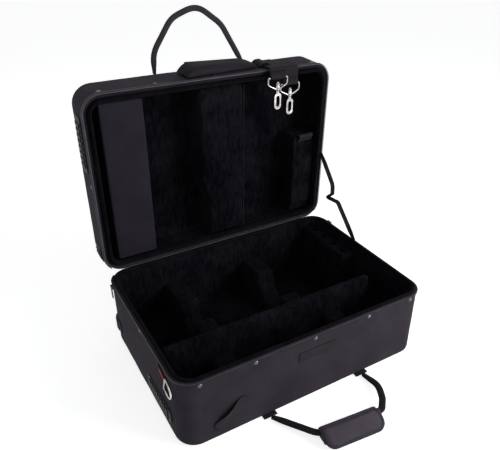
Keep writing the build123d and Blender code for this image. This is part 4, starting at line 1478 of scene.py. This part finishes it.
# %% [markdown]
# A flat binding is folded over the flap's edge and sewn down. It is a strap whose section is a
# fold, swept round three sides of the flap, with its width turned outward all the way.


# %% Binding of the flap
def bound_edge(width, thick):
    """Flat binding folded over an edge: out from the edge, and up."""
    t = thick / 2
    return [
        (-width, t * 0.7), (-width + 0.4, t), (-width * 0.5, t * 1.08), (-1.6, t), (0.5, t * 0.6),
        (1.1, 0), (0.5, -t * 0.6), (-1.6, -t * 0.9), (-width * 0.5, -t * 0.95),
        (-width + 0.4, -t * 0.9), (-width, -t * 0.6),
    ]


edge_up, first_x = 2.2, 0.4
end_shares = np.linspace(0.08, 0.95, 9)
edge = [(first_x, share * flap_reach(first_x), edge_up) for share in end_shares]
outward = [(-1, 0, 0)] * len(edge)
left, right = [1.4, 3, 5, 7.5, 10.5], [116.5, 119.5, 122, 124, 125.6]
for x in [*left, *np.linspace(14.5, 112.5, 22), *right]:
    lean = max(0.0, 1 - min(x, grip_length - x) / 14.0)
    edge.append((x, flap_reach(x) - 0.4, edge_up))
    outward.append((math.copysign(lean, x - grip_length / 2), math.sqrt(1 - lean * lean), 0))
for share in end_shares[::-1]:
    edge.append((grip_length - first_x, share * flap_reach(first_x), edge_up))
    outward.append((1, 0, 0))
flap_binding = strap(
    "grip_flap_binding", edge, grip_binding, "grip_flap", "padding", width=10.5, thick=7.8,
    across=outward, section=bound_edge, turn=on_flap,
)
seam_line = np.array(edge) - np.array(outward) * 7.2 + (0, 0, 4.0)
stitches("grip_flap_seam", seam_line, (0, 0, 1), "grip_flap", "padding", turn=on_flap)
print("binding:", len(flap_binding.data.polygons), "faces")

# %% [markdown]
# ## Shoulder strap
#
# The strap lies folded on top of the open lid: a padded sleeve, and from its right end two
# webbing ends that drop over the rim, each with a swivel hook hanging in the lid.

# %% Shoulder pad
pad_left, pad_right, pad_middle, pad_half = -70.0, 110.0, 39.4, 27.6
pad_slant = math.radians(4.5)
thick_end, thin_end, pad_floor = 23.4, 10.6, 2.4


def on_lid_front(points):
    """From the lid's front wall (along, across it from the rim, out from it) to the shut lid."""
    p = np.asarray(points, float)
    return np.column_stack([p[:, 0], -half_depth - p[:, 2], base_height + p[:, 1]])


def pad_turned(points):
    """Slant the pad a little on the lid, and open the lid."""
    p = np.asarray(points, float).copy()
    centre = (pad_left + pad_right) / 2
    a, b = swung(pad_slant, p[:, 0] - centre, p[:, 1] - pad_middle)
    p[:, 0], p[:, 1] = centre + a, pad_middle + b
    return open_lid(on_lid_front(p))


def pad_height(x):
    """Height of the pad at one place: plump at its left end, thin where the webbing leaves it."""
    near, far = x - pad_left, pad_right - x
    top = thick_end + (thin_end - thick_end) * near / (pad_right - pad_left)
    rise = min(near / 26.0, far / 30.0)
    return pad_floor + (top - pad_floor) * math.sin(min(rise, 1) * math.pi / 2)


def pad_section(x):
    """Closed section of the pad: a full upper side and a nearly flat lower one."""
    half = pad_half - 3.0 * max(0, 1 - min(x - pad_left, pad_right - x) / 16.0) ** 2
    section = []
    for angle in np.linspace(0, math.pi, 15):
        across = math.cos(angle)
        full = half * math.copysign(abs(across) ** 0.45, across)
        up = 3.6 + (pad_height(x) - 3.6) * math.sin(angle) ** 0.42
        section.append((x, pad_middle + full, up))
    under = ((-half, 3.2), (2 - half, 2.7), (0, 2.6), (half - 2, 2.7), (half, 3.2))
    return section + [(x, pad_middle + side, up) for side, up in under]


left, right = [0.3, 1, 2.5, 5, 8, 12, 17], [163, 168, 172, 175, 177.5, 179, 179.7]
stations = np.array([*left, *np.linspace(24, 156, 22), *right]) + pad_left
pad = loft(
    "shoulder_pad", [pad_section(x) for x in stations], binding_cloth, "lid", "padding",
    caps=True, turn=pad_turned, stands_for=["strap_pad"],
)
on_the_lid = 558.6
puffed(pad, 2.5, 4.0, rests=lambda p: p[:, 2] < on_the_lid)
print("shoulder pad:", len(pad.data.polygons), "faces")

# %% [markdown]
# A round piping is sewn into both long seams of the pad. A tube swept along a row of points gives
# it, and the same helper bends the wire of the hook rings further down.


# %% Piping of the pad
def tube(name, line, radius, material, body, slot, turn=in_place, sides=8):
    """Round piping along a line of points."""
    line = np.asarray(line, float)
    ahead = np.gradient(line, axis=0)
    ahead /= np.maximum(np.linalg.norm(ahead, axis=1), 1e-9)[:, None]
    reference = np.array((0.03, 0.02, 1.0))
    rows = []
    for point, along in zip(line, ahead):
        side = np.cross(along, reference)
        side /= max(np.linalg.norm(side), 1e-9)
        up = np.cross(side, along)
        rows.append([point + radius * (side * math.cos(a) + up * math.sin(a)) for a in around(sides)])
    return loft(name, rows, material, body, slot, caps=True, turn=turn)


seam_side = 25.6
for side, word in ((-1, "front"), (1, "back")):
    line = [(x, pad_middle + side * seam_side, 0.6 + 0.9 * pad_height(x)) for x in stations[7:-6]]
    name = f"pad_piping_{word}"
    tube(name, line, 1.3, binding_cloth, "lid", "padding", turn=pad_turned)
print("piping:", len(line), "points on each side")

# %% [markdown]
# From the pad's right end two lengths of webbing run over the lid's rim and hang down inside it,
# each round the bar of a hook ring and back on itself. When the lid shuts, the hanging ends meet
# the base, so each is split at the rim into an upper and a lower piece.

# %% Webbing ends of the shoulder strap
webbing_width, webbing_thick, clear = 38, 1.6, 0.4
ring_bars = {"first": (136, 380.6, -11.0), "second": (171, 362.2, -6.0)}
drop_from, bar_reach = 56.0, 3.2
lid_up = open_lid([(0, 0, 161)])[0] - open_lid([(0, 0, 160)])[0]


def drop_route(x, bar_far, bar_high, lift):
    """Down the lid's front wall, over the rim, round the ring's bar and back on itself."""
    out = case_depth + 2.4 + clear + lift + webbing_thick / 2
    face = -4.0 - clear - lift - webbing_thick / 2
    corners = [(out, drop_from), (out, face), (bar_far + 7, face)]
    run = rounded_route([from_hinge(x, far, high) for far, high in corners], [3.0], 3.0)
    loop = [
        (bar_far - bar_reach * math.sin(a), bar_high + bar_reach * math.cos(a))
        for a in np.linspace(0.15, math.pi, 10)
    ]
    loop += [(bar_far + 5, bar_high - bar_reach + clear), (bar_far + 13, face - 2.1)]
    return np.vstack([run, [from_hinge(x, far, high) for far, high in loop]])


def drop_pieces(word, lift):
    """One webbing end, split at the lid's rim. Only the upper piece is returned."""
    route = drop_route(*ring_bars[word], lift)
    turn_at = int(np.argmax(route[:, 2] < base_height))
    parts = ((f"{word}_drop", route[: turn_at + 1]), (f"{word}_strap_fall", route[turn_at:]))
    upper, lower = [
        plain_strap(name, part, "lid", webbing_width, webbing_thick, across=(1, 0, 0), turn=open_lid)
        for name, part in parts
    ]
    anchor = open_lid([route[turn_at]])[0] / 1000
    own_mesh(lower)
    return upper


def strap_end(word, lift, run_name, run):
    """The hanging end of a length of webbing and its run on top of the lid, as one piece."""
    on_top = open_lid(on_lid_front(run))
    parts = [
        drop_pieces(word, lift),
        plain_strap(run_name, on_top, "lid", webbing_width, webbing_thick, across=lid_up),
    ]
    return joined(f"{word}_strap_end", parts, [f"strap_webbing_{word}"])


arch = [(109, 37, 4.2), (115, 37, 9.4), (127, 37, 9.9), (135, 37, 5.4), (154, 37, 5.4)]
first_end = strap_end("first", 2.0, "first_arch", rounded_route(arch, [9, 8, 9], 2.0))
flat_run = rounded_route([(108, 37, 3.6), (189, 37, 3.6)], [], 3.0)
second_end = strap_end("second", 0.0, "second_run", flat_run)
print("strap ends:", first_end.name, second_end.name)

# %% [markdown]
# The rings that the hooks hang from are bent wire. A curve with a round bevel would give the same
# shape; the tube helper bends it here along a rounded route, and a turned barrel closes it.


# %% Bend the hook rings
def ring_place(x, bar_far, bar_high):
    """From a ring's own axes (along its bar, up from it, out of its plane) to the open lid."""

    def place(points):
        p = np.asarray(points, float)
        return open_lid([from_hinge(x + a, bar_far + b, bar_high + c) for a, b, c in p])

    return place


def turned(name, profile, material, body, slot, turn):
    """Turned piece: rings of a radius at a height, round the axis that points down the lid."""
    rows = [[(r * math.cos(a), h, r * math.sin(a)) for a in around(20)] for r, h in profile]
    return loft(name, rows, material, body, slot, caps=True, turn=turn)


ring_bend = [(3.4, -25.6), (23.9, -15.5), (23.9, 0), (-23.9, 0), (-23.9, -15.5), (-3.4, -25.6)]
ring_bend = [(a, b, 0) for a, b in ring_bend]
barrel_profile = [
    (2.4, -12), (4.2, -12.2), (4.9, -13), (4.9, -15), (4.1, -15.6), (4.1, -17), (5, -17.8),
    (5, -24), (4.3, -25), (4.9, -26), (4.6, -27.6), (2.4, -28),
]
# The rings' nickel carries painted reflections in its dark and pale blotches.
for word, bar in ring_bars.items():
    place = ring_place(*bar)
    body = f"hook_ring_{word}"
    line = place(rounded_route(ring_bend, [9, 4.5, 4.5, 9], 1.6))
    wire = tube(f"{word}_ring_wire", line, 2.1, nickel_with_painted_glints, body, "silver", sides=12)
    barrel = turned(f"{word}_ring_barrel", barrel_profile, nickel_with_painted_glints, body, "silver", place)
    joined(f"{word}_hook_ring", [wire, barrel], [body])
print("hook rings bent, with", len(line), "points each")

# %% [markdown]
# Plush turned round a sharp foam edge shows a bright line along the hold-down block's right edge.
# A thin round roll of pale plush lies along that edge; its pale colour is a painted highlight for
# that line.

# %% Painted highlight along the hold-down block's edge
edge_x, edge_z = 61.6, 164.8
edge_line = [(edge_x, y, edge_z) for y in np.linspace(half_depth - 370, half_depth - 28, 60)]
block_edge_highlight = tube("hold_down_edge_highlight", open_lid(edge_line), 0.9, edge_highlight_plush, "lid", "plush")
print("block edge:", len(block_edge_highlight.data.polygons), "faces")

# %% [markdown]
# ## Stay strap and hinge tape
#
# Two ribbons cross the hinge. The stay strap keeps the lid from falling back, the hinge tape is
# the hinge itself. Each is one piece that follows the base at one end and the lid at the other.
# The stay strap hangs slack with a fold in it, and turns its face as it goes.

# %% Stay strap
stay_x = half_length - 1.5 - 0.6
lid_end = open_lid([from_hinge(stay_x, 172, 1.0)])[0]
base_end = np.array((stay_x, 38.0, rim + 0.6))
fold_points = [(stay_x, y, z) for y, z in ((112, 232), (157, 227), (136, 244), (137, 268))]
stay_route = rounded_route([base_end, *fold_points, lid_end], [14, 3.4, 8, 30], 1.3)
ahead = np.gradient(stay_route, axis=0)
ahead /= np.linalg.norm(ahead, axis=1)[:, None]
most_twist, twist_reach = 66, 36
twist = np.radians(eased(len(stay_route), 0, most_twist, twist_reach))[:, None]
sideways = np.array((1, 0, 0))
stay_across = np.cos(twist) * np.cross(sideways, ahead) + np.sin(twist) * sideways
stay_strap = plain_strap(
    "lid_stay_strap", stay_route, "base", 10.5, 1.6, across=stay_across, ride=False,
    stands_for=["stay_strap"],
)
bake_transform(stay_strap)
print("stay strap:", round(running(stay_route, False)[-1]), "mm long")

# %% [markdown]
# The hinge tape is one wide webbing, glued down the back of the base and on to the lid. The whole
# bend lies between the two points that the blend is given, so both glued parts stay flat.

# %% Hinge tape
hinge_points = [(0, half_depth + 0.6, 139.6), (0, half_depth + 0.6, 159.3), (0, 217.8, 160.1)]
hinge_tape = plain_strap(
    "hinge_tape", rounded_route(hinge_points, [3.0], 1.5), "base", 464, 1.1, across=(1, 0, 0),
    ride=False, stands_for=["base_hinge_tape", "lid_hinge_tape"],
)
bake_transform(hinge_tape)
print("hinge tape:", len(hinge_tape.data.polygons), "faces")

# %% [markdown]
# The box's door opens by a short webbing pull: sewn on the door, round in a loop that a finger
# fits, and back. It is the strap helper again, with small radii in the turns.

# %% Pull on the box's door
pull_x, pull_width, pull_thick = 231, 37.6, 1.5
pull_bend = [
    (211, 11.0), (216, 9.4), (223, 4.2), (229.0, 5.6), (229.0, 9.4), (224.8, 11.6), (224.6, 16),
]
pull_line = rounded_route([from_hinge(pull_x, far, high) for far, high in pull_bend], 3.0, 1.4)
door_pull = plain_strap(
    "door_pull_webbing", pull_line, "box_door", pull_width, pull_thick, across=(1, 0, 0),
    turn=open_lid, stands_for=["door_pull"],
)
print("door pull:", len(door_pull.data.polygons), "faces")

# %% [markdown]
# ## Small sewn trim
#
# In the middle of the front a bare dark patch is sewn on. It is a very flat soft box with a seam
# round it. The cover under it swells, so both are moved out by as much as the cover is.


# %% Patch on the front
def on_cover(points):
    """Move points on the base's front wall out to where the swollen cover is."""
    p = np.asarray(points, float).copy()
    straight = half_length - corner_radius
    for point in p:
        x, _, z = point
        share = min(max((x + straight) / (2 * straight), 0), 1)
        swell = wall_swell(z, base_wall, base_swell) * math.sin(math.pi * share)
        point[1] -= swell + unevenness * wander((x, -half_depth, z), cover_grain)
    return p


patch_low, patch_high = (-38.0, -half_depth - 1.3, 107.5), (48.0, -half_depth + 0.3, 129.5)
patch = cushion(
    "front_patch_cloth", patch_low, patch_high, 0.7, patch_cloth, "base", "patch", turn=on_cover,
    spacing=6, uneven=0.1, stands_for=["front_patch"],
)
seam_end = 110 + 17 / 14
patch_corners = [(-35.5, 110), (45.5, 110), (45.5, 127), (-35.5, 127), (-35.5, seam_end)]
line = [(x, -half_depth - 1.5, z) for x, z in patch_corners]
stitches("front_patch_seam", line, (0, -1, 0), "base", "patch", radius=0.45, turn=on_cover)
print("patch:", len(patch.data.polygons), "faces")

# %% [markdown]
# Near the left corner a short strip of cloth is sewn on by its two ends only, as a pull. It bows
# out in between, more along its upper edge than along its lower one.


# %% Corner pull
def on_front(x, z, tilt):
    """From a piece's own axes (along, across, out) to the front wall, turned by tilt."""

    def place(points):
        p = np.asarray(points, float)
        along, up = swung(tilt, p[:, 0], p[:, 1])
        return on_cover(np.column_stack([x + along, -half_depth - p[:, 2], z + up]))

    return place


strip_half, strip_corner, strip_thick, strip_edge = 41, 12, 0.9, 15
inner_rows = []
for across in (-15, -14.4, -12.5, -9, -4.5, 0, 4.5, 9, 12.5, 14.4, 15):
    cut = max(0, abs(across) - (strip_edge - strip_corner))
    half = strip_half - strip_corner + math.sqrt(max(strip_corner ** 2 - cut ** 2, 0))
    lift = 1.0 + 6.0 * (0.5 + 0.5 * across / strip_edge) ** 1.5
    inner_rows.append([
        (half * share, across, 1.2 + lift * math.cos(share * math.pi / 2) ** 1.3)
        for share in np.linspace(-1, 1, 25)
    ])
rows = [[(a, b, c + strip_thick) for a, b, c in row] + row[::-1] for row in inner_rows]
corner_pull = loft(
    "corner_pull_strip", rows, nylon, "base", "webbing", caps=True,
    turn=on_front(-182, 52, math.radians(38)), stands_for=["corner_pull"],
)
print("corner pull:", len(corner_pull.data.polygons), "faces")

# %% [markdown]
# Each end wall has a slanted webbing tab that holds the ring for the shoulder strap, with a small
# coloured tag under it. Both ends are the same, so one helper places both, mirrored.

# %% Tabs and tags at the ends
ring_tab_y, ring_tab_z, ring_tilt = -104.0, 136.0, math.radians(20)


def on_end_wall(side):
    """From a tab's own axes (out, along it forward, up) to the left or right end wall."""

    def place(points):
        p = np.asarray(points, float)
        y, z = swung(ring_tilt, -p[:, 1], p[:, 2])
        return np.column_stack([side * (half_length + p[:, 0]), ring_tab_y + y, ring_tab_z + z])

    return place


for side, word in ((-1, "left"), (1, "right")):
    place = on_end_wall(side)
    tab_line = place([(1.3, t, 0) for t in np.linspace(0, 31.5, 9)])
    plain_strap(f"ring_tab_{word}", tab_line, "base", 25, 2.2, up=(side, 0, 0))
    tag_line = place([(2.8, 31 - t, 7) for t in np.linspace(0, 23, 6)])
    strap(f"side_tag_{word}", tag_line, tag_cloth, "base", "tag", 8, 0.8, up=(side, 0, 0))
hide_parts("strap_ring_tabs")
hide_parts("side_tags")

# %% [markdown]
# ## Hard parts
#
# Rings, hooks, rivets, feet and zip sliders are rigid, and their CAD shape is right. They keep it
# and only get a finish.

# %% Finish the hard parts
hard_parts = {
    # The nickel's dark and pale blotches are painted reflections.
    nickel_with_painted_glints: (
        "hook_body_first hook_body_second hook_gate_first hook_gate_second "
        "strap_ring_left strap_ring_right"
    ),
    rivet_steel: "base_rivets lid_rivets",
    foot_rubber: "base_end_foot base_corner_feet lid_end_foot lid_corner_feet",
    slider_paint: "zip_slider_left zip_slider_right zip_pull_left zip_pull_right",
}
for material, names in hard_parts.items():
    for name in names.split():
        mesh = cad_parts[name].data
        mesh.materials.clear()
        mesh.materials.append(material)
print("finished:", sum(len(names.split()) for names in hard_parts.values()), "hard parts")
